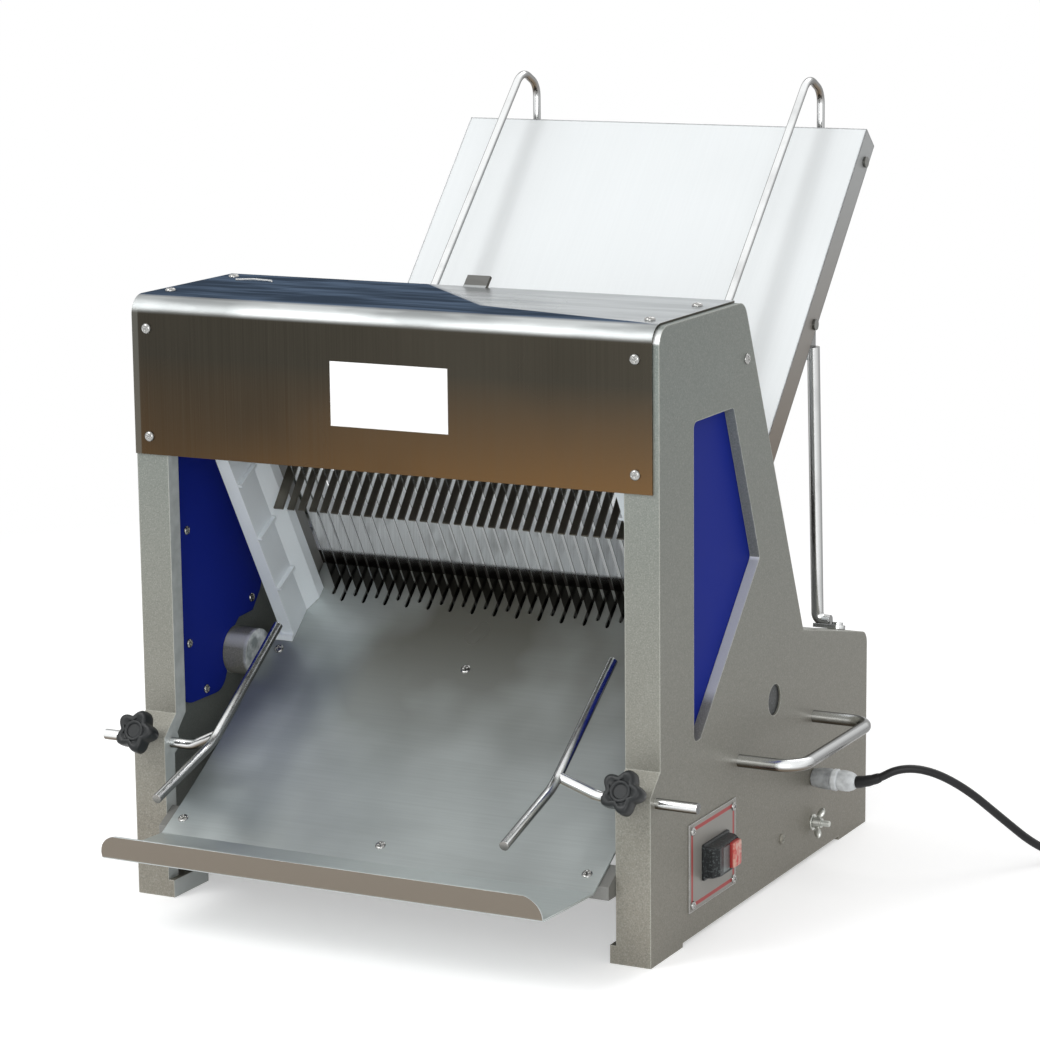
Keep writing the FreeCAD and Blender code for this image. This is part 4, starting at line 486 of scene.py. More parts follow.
def tray_finish():
    """The infeed tray's bright sheet, with painted shade on its outer flanges, brown low down, and dark on
    its cut edges.
    """
    base = tuple(finishes().tray)
    tree = Finish("tray_sheet")
    lines, cloud = tree.effect("brushed_lines", Stretch=(420.0, 5.0, 5.0), Cloud=3.0)
    side, ahead, up = tree.facings()
    tone = tree.fade(tint(base, 0.98), base, lines, (0.3, 0.7))
    tone = tree.fade(tone, tint(base, 0.88), cloud, (0.45, 0.75), 0.6)
    # Painted shade on the side-facing flanges, brown low down, grey higher up.
    shade = tree.fade((0.15, 0.115, 0.08), (0.36, 0.37, 0.37), tree.places()[2], TRAY_HEIGHT)
    tone = tree.fade(tone, shade, tree.math("ABSOLUTE", side), (0.5, 0.9))
    rising = tree.plus(tree.times(ahead, math.cos(TRAY_SLOPE)), tree.times(up, math.sin(TRAY_SLOPE)))
    tone = tree.fade(tone, (0.06, 0.06, 0.055), rising, (0.85, 0.97))
    tone = tree.fade(tone, (0.05, 0.055, 0.06), tree.edge_mask(0.0026, Breakup=20.0), (0.04, 0.20), 0.95)
    return tree.close(tone, (cloud, 0.34, 0.48), (lines, 0.3, 0.00004), metallic=0.3, sheen=0.3)


def blade_finish():
    """Polished blade steel that mirrors the tray, with painted shade on its front edges and below the tray's
    lower edge.
    """
    base = tuple(finishes().blade)
    tree = Finish("blade_steel")
    lines, cloud = tree.effect("brushed_lines", Stretch=(300.0, 300.0, 25.0), Cloud=30.0)
    tone = tree.fade(tint(base, 0.82), base, lines, (0.35, 0.65))
    tone = tree.fade(tone, tint(base, 0.42), cloud, (0.50, 0.72), 0.7)
    # Painted shade on the blades' front edges.
    tone = tree.fade(tone, tint(base, 0.30), tree.facings()[1], (-0.4, -0.8))
    # Painted shade below the tray's lower edge.
    tone = tree.fade((0.060, 0.056, 0.050), tone, tree.places()[2], SHADE_BELOW_TRAY)
    return tree.close(tone, (cloud, 0.08, 0.22), (lines, 0.04, 0.00003), metallic=1.0)


def rod_finish():
    """Bright drawn steel with painted reflections: lighter ahead and above, darker aside, a brown painted
    reflection of the ground below, a dark painted line along the top and painted shade towards the outline,
    with faint streaks.
    """
    base = tuple(finishes().rod)
    tree = Finish("bright_rod")
    lines, cloud = tree.effect("brushed_lines", Stretch=(160.0, 160.0, 160.0), Cloud=22.0)
    side, ahead, up = tree.facings()
    # Painted light by facing: lighter ahead and above, darker aside.
    lit = tree.plus(tree.times(side, 0.20), tree.times(ahead, -0.72), tree.times(up, 0.66))
    tone = tree.fade(tint(base, 0.50), tint(base, 1.50), lit, (0.35, 0.80))
    # Brown painted reflection of the ground on the undersides.
    tone = tree.fade(tone, tint(base, 0.26, 0.20, 0.14), up, (0.0, -0.60))
    # Dark painted reflection along the tops.
    tone = tree.fade(tone, tint(base, 0.35), up, (0.86, 0.97), 0.7)
    tone = tree.fade(tone, tint(base, 0.5), cloud, (0.5, 0.75), 0.35)
    # Painted shade where the surface turns away from the view.
    silhouette_shade = tree.add("ShaderNodeLayerWeight")
    silhouette_shade.inputs["Blend"].default_value = 0.5
    tone = tree.fade(tone, (0.05, 0.05, 0.045), silhouette_shade.outputs["Facing"], (0.50, 0.72), 0.85)
    return tree.close(tone, (lines, 0.14, 0.28), (lines, 0.12, 0.00003), metallic=1.0)


def casting_finish():
    """Silver paint of the side frames, with a cool painted reflection above and a warm one below, painted
    shade on faces that look out or in, painted highlights on the inner rims, window sills and edges, and
    rough on the bearing bosses.
    """
    base = finishes().casting
    tree = Finish("silver_paint")
    grain, cloud = tree.effect("surface_grain", Fineness=800.0, Cloud=5.0)
    lump_grain, lumps = tree.effect("surface_grain", Fineness=260.0, Cloud=75.0)
    x, _, z = tree.places()
    side, ahead, up = tree.facings()
    # Warm painted reflection of the ground low down, cool painted reflection from above higher up.
    tone = tree.fade(tint(base, 1.03, 0.93, 0.84), tint(base, 0.86, 0.97, 1.0), z, FRAME_HEIGHT)
    tone = tree.fade(tone, tint(base, 1.4), cloud, (0.35, 0.70), 0.30)
    tone = tree.fade(tone, tint(base, 1.7), grain, (0.52, 0.74), 0.5)
    tone = tree.fade(tone, tint(base, 0.55), grain, (0.46, 0.28), 0.5)
    outward = tree.times(side, tree.math("SIGN", x))
    # Painted shade on the faces that look outwards to the sides.
    tone = tree.fade(tone, (0.06, 0.055, 0.04), outward, (0.6, 0.9), 0.26)
    # Painted shade on the faces that look inwards.
    tone = tree.fade(tone, (0.13, 0.16, 0.16), outward, (-0.5, -0.9), 0.6)
    depth = tree.math("ABSOLUTE", x)
    # Painted highlight on the inner rims of the posts.
    rim_highlight = tree.times(tree.zone((outward, (-0.5, -0.9)), (depth, FRAME_INNER_RIM)), 0.8)
    tone = tree.blend(rim_highlight, tone, (0.55, 0.58, 0.57))
    bosses = tree.zone((depth, FRAME_BOSS), (z, ABOVE_FEET))
    cast = tree.fade((0.30, 0.33, 0.33), (0.95, 0.97, 0.97), lumps, (0.35, 0.65))
    tone = tree.blend(bosses, tone, cast)
    # Painted highlight on the window sills that face up and forwards.
    sill_highlight = tree.zone((up, (0.15, 0.25)), (ahead, (-0.30, -0.98)), (up, (0.92, 0.80)), (z, WINDOW_SILL))
    tone = tree.blend(sill_highlight, tone, (0.90, 0.92, 0.92))
    # Painted highlight along the edges.
    tone = tree.blend(tree.times(tree.edge_mask(0.0022), 0.75), tone, tint(base, 2.6))
    relief = tree.plus(grain, tree.times(lump_grain, bosses))
    return tree.close(tone, (cloud, 0.38, 0.52), (relief, 0.28, 0.0001), metallic=0.35, sheen=0.35)


def switch_moulding_finish():
    """Black moulding with specks, and a grey panel beside the button."""
    tree = Finish("switch_moulding")
    grain, cloud = tree.effect("surface_grain", Fineness=520.0, Cloud=30.0)
    x, y, z = tree.places()
    tone = tree.fade(tuple(finishes().moulding), (0.10, 0.12, 0.12), grain, (0.55, 0.70), 0.7)
    panel = tree.zone((x, SWITCH_PANEL_OUT), (y, SWITCH_PANEL_ALONG), (z, SWITCH_PANEL_FOOT),
                      (z, SWITCH_PANEL_TOP))
    tone = tree.blend(panel, tone, tree.blend(grain, (0.11, 0.14, 0.14), (0.30, 0.34, 0.34)))
    return tree.close(tone, (cloud, 0.32, 0.46), (grain, 0.25, 0.00006), sheen=0.3)


def gland_finish():
    """Grey gland: mottled body, paler nut and dome."""
    base = finishes().gland
    tree = Finish("gland_moulding")
    grain, cloud = tree.effect("surface_grain", Fineness=800.0, Cloud=120.0)
    mottle = tree.rise(cloud, (0.35, 0.65))
    body = tree.blend(mottle, tint(base, 0.45), tint(base, 0.8))
    dome = tree.blend(mottle, tint(base, 1.1), tint(base, 1.6))
    tone = tree.fade(body, dome, tree.places()[0], GLAND_NUT)
    return tree.close(tone, (cloud, 0.30, 0.45), (grain, 0.2, 0.00006))


def button_finish():
    """Red button moulding with a paler, speckled face."""
    base = tuple(finishes().button)
    tree = Finish("button_moulding")
    grain, cloud = tree.effect("surface_grain", Fineness=900.0, Cloud=160.0)
    face = tree.fade(base, (0.66, 0.36, 0.28), cloud, (0.4, 0.6))
    tone = tree.fade(tint(base, 0.6), face, tree.places()[0], BUTTON_FACE)
    return tree.close(tone, (cloud, 0.26, 0.40), (grain, 0.15, 0.00006))


def switch_plate_finish():
    """Grey plate with a red line round its edge and a painted highlight along its edges."""
    low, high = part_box("switch_plate")
    tree = Finish("switch_plate_enamel")
    grain, cloud = tree.effect("surface_grain", Fineness=700.0)
    insets = []
    for axis, place in zip((1, 2), tree.places()[1:]):
        half = (high[axis] - low[axis]) / 2 - SWITCH_PLATE_MARGIN
        off = tree.math("ABSOLUTE", tree.minus(place, (low[axis] + high[axis]) / 2))
        insets.append(tree.minus(half, off))
    inner = tree.math("MINIMUM", *insets)
    line = tree.times(tree.math("GREATER_THAN", inner, 0.0), tree.math("LESS_THAN", inner, sizes().border))
    tone = tree.blend(line, tree.blend(cloud, (0.20, 0.19, 0.165), (0.28, 0.27, 0.25)), (0.34, 0.008, 0.007))
    # Painted highlight along the plate's edges.
    tone = tree.blend(tree.edge_mask(0.0014), tone, (0.85, 0.86, 0.85))
    return tree.close(tone, (cloud, 0.3, 0.42), (grain, 0.1, 0.00005), metallic=0.2)


def seen_directly(tree):
    """One for the camera's rays and for those that mirrors and clear parts pass on."""
    path = tree.add("ShaderNodeLightPath").outputs
    mirrored = tree.math("MAXIMUM", path["Is Glossy Ray"], path["Is Transmission Ray"])
    return tree.math("MAXIMUM", path["Is Camera Ray"], mirrored)


def floor_finish():
    """Pale floor that shows white, apart from the object's shadow, and white alone far away."""
    tree = Finish("studio_floor")
    base = bpy.context.scene.slicer_studio.floor
    cloud = tree.noise(3, place=tree.add("ShaderNodeTexCoord").outputs["Generated"])
    tree.join(tree.blend(cloud, tint(base, 0.99), tint(base, 1.01)), tree.shader.inputs["Base Color"])
    tree.join(0.9, tree.shader.inputs["Roughness"])
    tree.join(0.1, tree.shader.inputs["Specular IOR Level"])
    x, y, _ = tree.places()
    away = tree.math("SQRT", tree.plus(tree.times(x, x), tree.times(y, y)))
    seen = seen_directly(tree)
    lift = tree.add("ShaderNodeEmission")
    tree.join(tree.times(seen, FLOOR_LIFT), lift.inputs["Strength"])
    lit = tree.add("ShaderNodeAddShader")
    tree.join(tree.shader.outputs[0], lit.inputs[0])
    tree.join(lift.outputs[0], lit.inputs[1])
    whole = tree.add("ShaderNodeMixShader")
    white = tree.add("ShaderNodeEmission")
    far = tree.times(tree.rise(away, (0.75, 1.8)), seen)
    for index, source in enumerate((far, lit.outputs[0], white.outputs[0])):
        tree.join(source, whole.inputs[index])
    output = next(node for node in tree.tree.nodes if node.type == "OUTPUT_MATERIAL")
    tree.join(whole.outputs[0], output.inputs["Surface"])
    return tree.material


def dress(material, *nodes):
    """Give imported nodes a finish."""
    for name in nodes:
        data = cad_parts[name].data
        data.materials.clear()
        data.materials.append(material)


# ---------------------------------------------------------------- mesh helpers

def new_piece(name, shape, materials, body, replaced, place=Matrix(), degrees=35):
    """Put a mesh or a bmesh at its place in the scene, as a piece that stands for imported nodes."""
    mesh = to_mesh(shape, name, degrees) if isinstance(shape, bmesh.types.BMesh) else shape
    mesh.transform(place)
    piece = bpy.data.objects.new(name, mesh)
    bpy.context.scene.collection.objects.link(piece)
    mesh.materials.clear()
    for material in (materials if isinstance(materials, tuple) else (materials,)):
        mesh.materials.append(material)
    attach(piece, body)
    if replaced:
        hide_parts(*replaced)
    return piece


def circle(shape, count, reach, place):
    """A ring of points round Z, moved by a matrix; reach gives the radius at an angle."""
    ring = []
    for step in range(count):
        angle = 2 * math.pi * step / count
        radius = reach(angle)
        ring.append(shape.verts.new(place @ Vector((radius * math.cos(angle), radius * math.sin(angle), 0))))
    return ring


def skin(shape, rings):
    """Faces between neighbouring rings of points; a ring of one point is a tip."""
    for low, high in zip(rings, rings[1:]):
        count = max(len(low), len(high))
        for i in range(count):
            j = (i + 1) % count
            corners = [low[i % len(low)], low[j % len(low)], high[j % len(high)], high[i % len(high)]]
            unique = list(dict.fromkeys(corners))
            if len(unique) > 2:
                shape.faces.new(unique)
    bmesh.ops.recalc_face_normals(shape, faces=shape.faces)


def closed_skin(shape, rings):
    """A skin with a face over its first and its last ring."""
    skin(shape, rings)
    shape.faces.new(list(reversed(rings[0])))
    shape.faces.new(rings[-1])
    bmesh.ops.recalc_face_normals(shape, faces=shape.faces)
    return shape


def turned(profile, segments=32, wave=None, loop=False):
    """A bmesh turned about Z from (radius, height) points.

    A wave changes the radius by angle and height. A loop joins the last point to the first.
    """
    shape = bmesh.new()
    rings = []
    for radius, height in profile:
        rings.append(circle(shape, segments if radius else 1,
                            lambda angle: radius * (wave(angle, height) if wave else 1),
                            Matrix.Translation((0, 0, height))))
    if loop:
        rings.append(rings[0])
    skin(shape, rings)
    return shape


def rounded_box(rows, corner, steps=6):
    """A bmesh lofted along Z through rounded rectangles, from (height, half width, half depth) rows."""
    shape = bmesh.new()
    rings = []
    for height, wide, deep in rows:
        bend = min(corner, wide * 0.9, deep * 0.9)
        ring = []
        for quarter, (sx, sy) in enumerate(((1, 1), (-1, 1), (-1, -1), (1, -1))):
            for step in range(steps + 1):
                angle = math.pi / 2 * (quarter + step / steps)
                ring.append(shape.verts.new((sx * (wide - bend) + bend * math.cos(angle),
                                             sy * (deep - bend) + bend * math.sin(angle), height)))
        rings.append(ring)
    return closed_skin(shape, rings)


def sleeve(points, radii, segments=24):
    """A bmesh tube along points, with its own radius at each."""
    shape = bmesh.new()
    rings = []
    for index, (point, radius) in enumerate(zip(points, radii)):
        along = points[min(index + 1, len(points) - 1)] - points[max(index - 1, 0)]
        rings.append(circle(shape, segments, lambda angle: radius, aim(along, point)))
    return closed_skin(shape, rings)


def to_mesh(shape, name, degrees=35):
    """Turn a bmesh into a mesh that is smooth except across sharp edges."""
    mesh = bpy.data.meshes.new(name)
    shape.to_mesh(mesh)
    shape.free()
    for polygon in mesh.polygons:
        polygon.use_smooth = True
    mesh.set_sharp_from_angle(angle=math.radians(degrees))
    return mesh


def absorb(shape, part):
    """Add a second bmesh to the first."""
    mesh = bpy.data.meshes.new("part")
    part.to_mesh(mesh)
    part.free()
    shape.from_mesh(mesh)
    bpy.data.meshes.remove(mesh)


def gather(parts, name):
    """One mesh made of (mesh, matrix) parts."""
    shape = bmesh.new()
    for mesh, matrix in parts:
        copy = mesh.copy()
        copy.transform(matrix)
        shape.from_mesh(copy)
        bpy.data.meshes.remove(copy)
    return to_mesh(shape, name)


def aim(direction, origin):
    """A matrix that takes +Z to a direction and zero to an origin."""
    turn = Vector(direction).to_track_quat("Z", "Y").to_matrix().to_4x4()
    return Matrix.Translation(origin) @ turn


def on_side(spot, turn=0.0):
    """A matrix that takes +Z outwards from the right side and +X along it, backwards."""
    facing = Matrix(((0, 0, 1, 0), (1, 0, 0, 0), (0, 1, 0, 0), (0, 0, 0, 1)))
    return Matrix.Translation(spot) @ facing @ Matrix.Rotation(turn, 4, "Z")


def solids_of(node):
    """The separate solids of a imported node, as their points and the (area, normal) of their faces."""
    shape = bmesh.new()
    shape.from_mesh(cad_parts[node].data)
    bmesh.ops.remove_doubles(shape, verts=shape.verts, dist=1e-6)
    found = []
    left = dict.fromkeys(shape.verts)
    while left:
        stack = [left.popitem()[0]]
        points = []
        faces = {}
        while stack:
            vert = stack.pop()
            points.append(vert.co.copy())
            faces.update(dict.fromkeys(vert.link_faces))
            for edge in vert.link_edges:
                other = edge.other_vert(vert)
                if other in left:
                    del left[other]
                    stack.append(other)
        found.append((points, [(face.calc_area(), face.normal.copy()) for face in faces]))
    shape.free()
    return found


def heads_of(node, outward):
    """Foot, direction, radius and height of each round head; outward(point) says which way it faces."""
    heads = []
    for points, faces in solids_of(node):
        middle = sum(points, Vector()) / len(points)
        hint = Vector(outward(middle))
        axis = max(faces, key=lambda face: face[0] * (face[1].dot(hint) > 0.5))[1]
        along = [point.dot(axis) for point in points]
        foot = middle + axis * (min(along) - middle.dot(axis))
        radius = max(((point - middle) - axis * (point - middle).dot(axis)).length for point in points)
        heads.append((foot, axis, radius, max(along) - min(along)))
    return heads


def carve(shape, cutter, name):
    """A mesh of one bmesh less another."""
    pair = [bpy.data.objects.new(name, to_mesh(part, name)) for part in (shape, cutter)]
    for piece in pair:
        bpy.context.scene.collection.objects.link(piece)
    cut = pair[0].modifiers.new("cut", "BOOLEAN")
    cut.object = pair[1]
    cut.solver = "EXACT"
    cut.use_self = True
    bpy.context.view_layer.update()
    finished = bpy.data.meshes.new_from_object(pair[0].evaluated_get(bpy.context.evaluated_depsgraph_get()))
    for piece in pair:
        bpy.data.objects.remove(piece)
    return finished


def screw_head(radius, height, recess):
    """A domed head with a cross recess, standing on Z; the recess has the second material."""
    shape = turned([(0, 0), (radius, 0), (radius, height * 0.3), (radius * 0.93, height * 0.62),
                    (radius * 0.72, height * 0.88), (radius * 0.4, height * 0.98), (0, height)], 28)
    cutter = bmesh.new()
    for turn in (0, math.pi / 2):
        part = bmesh.ops.create_cube(cutter, size=1)["verts"]
        bmesh.ops.scale(cutter, vec=(radius * 1.30, radius * 0.30, recess * 2), verts=part)
        bmesh.ops.rotate(cutter, matrix=Matrix.Rotation(turn + 0.4, 3, "Z"), verts=part)
        bmesh.ops.translate(cutter, vec=(0, 0, height + recess * 0.05), verts=part)
    head = carve(shape, cutter, "screw_head")
    for polygon in head.polygons:
        deep = polygon.center.z < height * 0.8 and polygon.center.xy.length < radius * 0.7
        polygon.material_index = 1 if deep else 0
    return head


# ---------------------------------------------------------------- operators

class SLICER_OT_stage(bpy.types.Operator):
    """Camera, lamps, floor and background"""
    bl_idname = "slicer.stage"
    bl_label = "Studio"

    def execute(self, context):
        scene = context.scene
        scene.view_settings.view_transform = "Standard"
        data = bpy.data.cameras.new("studio_camera")
        data.sensor_width = 36
        data.lens = LENS
        data.clip_end = 60
        camera = bpy.data.objects.new("studio_camera", data)
        scene.collection.objects.link(camera)
        camera.matrix_world = self.camera_place()
        scene.camera = camera
        self.light_world(scene)
        for name, (spot, target, side) in LAMPS.items():
            self.lamp(name + "_lamp", spot, target, side, getattr(scene.slicer_studio, name))
        floor = bpy.data.meshes.new("studio_floor")
        corners = [(x * FLOOR_HALF, y * FLOOR_HALF, 0) for x, y in ((-1, -1), (1, -1), (1, 1), (-1, 1))]
        floor.from_pydata(corners, [], [(0, 1, 2, 3)])
        ground = bpy.data.objects.new("studio_floor", floor)
        scene.collection.objects.link(ground)
        floor.materials.append(floor_finish())
        return {"FINISHED"}

    def camera_place(self):
        """The camera's matrix from its place, yaw, pitch and roll."""
        ahead = Vector((-math.sin(CAMERA_YAW) * math.cos(CAMERA_PITCH),
                        math.cos(CAMERA_YAW) * math.cos(CAMERA_PITCH), -math.sin(CAMERA_PITCH)))
        right = Vector((math.cos(CAMERA_YAW), math.sin(CAMERA_YAW), 0))
        up = right.cross(ahead)
        rolled_right = right * math.cos(CAMERA_ROLL) + up * math.sin(CAMERA_ROLL)
        rolled_up = up * math.cos(CAMERA_ROLL) - right * math.sin(CAMERA_ROLL)
        turn = Matrix((rolled_right, rolled_up, -ahead)).transposed().to_4x4()
        return Matrix.Translation(CAMERA_SPOT) @ turn

    def lamp(self, name, spot, target, side, power):
        data = bpy.data.lights.new(name, "AREA")
        data.shape = "SQUARE"
        data.size = side
        data.energy = power
        lamp = bpy.data.objects.new(name, data)
        lamp.matrix_world = aim(Vector(spot) - Vector(target), spot)
        bpy.context.scene.collection.objects.link(lamp)

    def light_world(self, scene):
        world = bpy.data.worlds.new("studio_air")
        scene.world = world
        world.use_nodes = True
        tree = Tree(world.node_tree)
        background = next(node for node in tree.tree.nodes if node.type == "BACKGROUND")
        air = scene.slicer_studio.air
        tree.join((1.0, 1.0, 1.0), background.inputs["Color"])
        tree.join(tree.plus(tree.times(seen_directly(tree), 1 - air), air), background.inputs["Strength"])


class SLICER_OT_castings(bpy.types.Operator):
    """Paint of the side frames, the plates in their windows and the blade guards"""
    bl_idname = "slicer.castings"
    bl_label = "Castings"

    def execute(self, context):
        dress(casting_finish(), "left_side_frame", "right_side_frame")
        enamel = cast_finish("cobalt_enamel", finishes().window, 0.0, 0.5, relief=0.08, wear_and_highlight=0.0, sheen=0.04)
        dress(enamel, "left_window_plate", "right_window_plate")
        alloy = cast_finish("guard_alloy", finishes().guard, 0.25, 0.5, grain=700.0, relief=0.3)
        dress(alloy, "left_blade_guard", "right_blade_guard")
        return {"FINISHED"}


class SLICER_OT_sheets(bpy.types.Operator):
    """Sheet metal of the cover, the chute, the tray and the drive housing"""
    bl_idname = "slicer.sheets"
    bl_label = "Sheet metal"

    def execute(self, context):
        dress(cover_finish(), "front_cover")
        dress(chute_finish(), "outfeed_chute")
        dress(tray_finish(), "infeed_tray")
        dress(brushed_finish("comb_steel", finishes().comb, 0.4, stretch=(300.0, 20.0, 20.0)),
              "slice_comb", "comb_rail")
        dress(cast_finish("drive_sheet", (0.20, 0.20, 0.19), 0.5, 0.45), "rear_cover", "base_plate",
              "chute_front_bar", "chute_rear_bar", "blade_frame_a", "blade_frame_b")
        return {"FINISHED"}


class SLICER_OT_blades(bpy.types.Operator):
    """Steel of the blades and the rails they run between"""
    bl_idname = "slicer.blades"
    bl_label = "Blades"

    def execute(self, context):
        dress(blade_finish(), "blades_a", "blades_b")
        dress(moulded_finish("rail_polymer", (0.55, 0.53, 0.48), 0.5), "left_slide_rail", "right_slide_rail")
        return {"FINISHED"}


class SLICER_OT_trim(bpy.types.Operator):
    """Wire clip on the cover, and a near-black sheet below the tray that stands in for shade inside the
    machine
    """
    bl_idname = "slicer.trim"
    bl_label = "Clip and crumb sheet"

    CLIP_BACK = -0.1095
    CLIP_RADIUS = 0.0009
    CLIP_BENDS = [(-0.2350, 0.5700), (-0.2150, 0.5712), (-0.1960, 0.5706), (-0.1950, 0.5694)]
    APRON_HALF = 0.2200
    APRON_BENDS = [(0.0080, 0.2600), (0.0080, 0.2870), (0.0095, 0.2870), (0.0095, 0.2610), (0.0890, 0.2345),
                   (0.0890, 0.2330)]

    def execute(self, context):
        clip = sleeve([Vector((x, self.CLIP_BACK, z)) for x, z in self.CLIP_BENDS],
                      [self.CLIP_RADIUS] * len(self.CLIP_BENDS))
        wire = moulded_finish("clip_wire", (0.62, 0.63, 0.62), 0.3)
        new_piece("cover_clip_detail", clip, wire, "housing", ["cover_clip"])
        # A near-black sheet under the tray's lower edge: painted shade of the machine's inside.
        apron = bmesh.new()
        closed_skin(apron, [[apron.verts.new((side * self.APRON_HALF, y, z)) for y, z in self.APRON_BENDS]
                            for side in (-1, 1)])
        dark = cast_finish("crumb_sheet", (0.030, 0.027, 0.023), 0.1, 0.5, grain=300.0, sheen=0.2)
        new_piece("crumb_apron_detail", apron, dark, "housing", [])
        return {"FINISHED"}


class SLICER_OT_drive(bpy.types.Operator):
    """Crank drive, belt and motor"""
    bl_idname = "slicer.drive"
    bl_label = "Drive"

    def execute(self, context):
        dress(brushed_finish("machined_steel", (0.42, 0.42, 0.41), 0.32, stretch=(30.0, 800.0, 800.0)),
              "crankshaft", "connecting_rods_a", "connecting_rods_b", "crank_pulley", "motor_pulley")
        dress(brushed_finish("bearing_bronze", (0.50, 0.33, 0.14), 0.35), "crank_bearings")
        dress(moulded_finish("belt_rubber", (0.02, 0.02, 0.02), 0.7), "drive_belt")
        dress(cast_finish("motor_enamel", (0.10, 0.13, 0.15), 0.1, 0.4, grain=500.0), "motor")
        return {"FINISHED"}


class SLICER_OT_rods(bpy.types.Operator):
    """Bright rods: guides, support rods and carrying handles"""
    bl_idname = "slicer.rods"
    bl_label = "Rods"

    def execute(self, context):
        pairs = [side + rod for rod in ("infeed_guide", "support_rod", "outfeed_guide", "carry_handle")
                 for side in ("left_", "right_")]
        dress(rod_finish(), "infeed_cross_rod", *pairs)
        dark = brushed_finish("dark_bolts", (0.16, 0.16, 0.15), 0.3, stretch=(200.0, 200.0, 200.0))
        dress(dark, "tray_bolts")
        return {"FINISHED"}


class SLICER_OT_screws(bpy.types.Operator):
    """Screw heads with a cross recess"""
    bl_idname = "slicer.screws"
    bl_label = "Screws"

    FACING = {
        "cover_screws": lambda point: (0, 0, 1) if point.z > COVER_LEVEL else (0, -1, 0),
        "frame_screws": lambda point: (math.copysign(1, point.x), 0, 0),
        "window_plate_screws": lambda point: (-math.copysign(1, point.x), 0, 0),
        "switch_screws": lambda point: (math.copysign(1, point.x), 0, 0),
        "chute_screws": lambda point: (0, -0.5, 0.85),
    }

    def execute(self, context):
        bright = brushed_finish("screw_steel", (0.36, 0.36, 0.35), 0.2, stretch=(300.0, 300.0, 300.0),
                                wear_and_highlight=0.8)
        # Near-black painted shade in the cross recesses.
        recess_shade = moulded_finish("recess_dirt", (0.02, 0.02, 0.018), 0.6)
        paint = bpy.data.materials["silver_paint"]
        for node, outward in self.FACING.items():
            bare, painted = [], []
            for head in heads_of(node, outward):
                low_at_back = head[0].z < LOW_SCREWS and head[0].y > 0
                (painted if low_at_back else bare).append(head)
            self.heads(node, node + "_detail", bare, (bright, recess_shade), "bright_steel")
            if painted:
                self.heads(node, "painted_screws_detail", painted, (paint, recess_shade), "frame_paint")
        return {"FINISHED"}

    def heads(self, node, name, found, materials, slot):
        parts = []
        for foot, axis, radius, height in found:
            head = screw_head(radius * 0.99, height * 0.98, min(sizes().recess, height * 0.6))
            parts.append((head, aim(axis, foot)))
        new_piece(name, gather(parts, name), materials, "housing", [node])


class SLICER_OT_knobs(bpy.types.Operator):
    """Star knobs of the outfeed guides"""
    bl_idname = "slicer.knobs"
    bl_label = "Star knobs"

    ROWS = [(0.0, 0.80), (0.0012, 0.93), (0.0035, 0.985), (0.0085, 1.0), (0.0135, 0.985), (0.0158, 0.93),
            (0.0168, 0.82), (0.0162, 0.62), (0.0148, 0.54), (0.0148, 0.50), (0.0160, 0.47), (0.0162, 0.44),
            (0.0162, 0.36), (0.0158, 0.33), (0.0146, 0.31), (0.0146, 0.12)]
    LOBED_SHARE = 0.55
    VALLEY = 0.0148
    LOBE = 0.0060
    FACE = 0.0205
    FOOT = (251, 13, 148)
    OUT = 0.028
    COLLAR = [(0, -0.0048), (0.0072, -0.0048), (0.0078, -0.0035), (0.0078, 0.0006), (0, 0.0006)]
    SCREW = [(0, -0.0226), (0.0036, -0.0226), (0.0039, -0.0220), (0.0039, -0.0042), (0, -0.0042)]

    def execute(self, context):
        moulding = moulded_finish("knob_moulding", finishes().moulding, 0.42, grain=1400.0)
        axis = Vector((0, -math.cos(KNOB_LEAN), math.sin(KNOB_LEAN)))
        for side, label in ((1, "right"), (-1, "left")):
            x, y, z = self.FOOT
            origin = from_leg(x * side, y, z) + axis * self.OUT
            knob = label + "_star_knob"
            new_piece(knob + "_detail", self.star(), moulding, knob, [knob],
                      aim(axis, origin), 50)
        return {"FINISHED"}

    def star(self):
        """Five rounded lobes round a dished face, on a stem with its screw."""
        shape = bmesh.new()
        closed_skin(shape, [circle(shape, 100, functools.partial(self.reach, share),
                                   Matrix.Translation((0, 0, height))) for height, share in self.ROWS])
        absorb(shape, turned(self.COLLAR))
        absorb(shape, turned(self.SCREW))
        bmesh.ops.recalc_face_normals(shape, faces=shape.faces)
        return shape

    def reach(self, share, angle):
        """The radius at an angle: lobed outside, round on the face."""
        if share <= self.LOBED_SHARE:
            return self.FACE * share
        lobe = (math.cos(2.5 * angle) ** 2) ** 0.8
        return (self.VALLEY + self.LOBE * lobe) * share


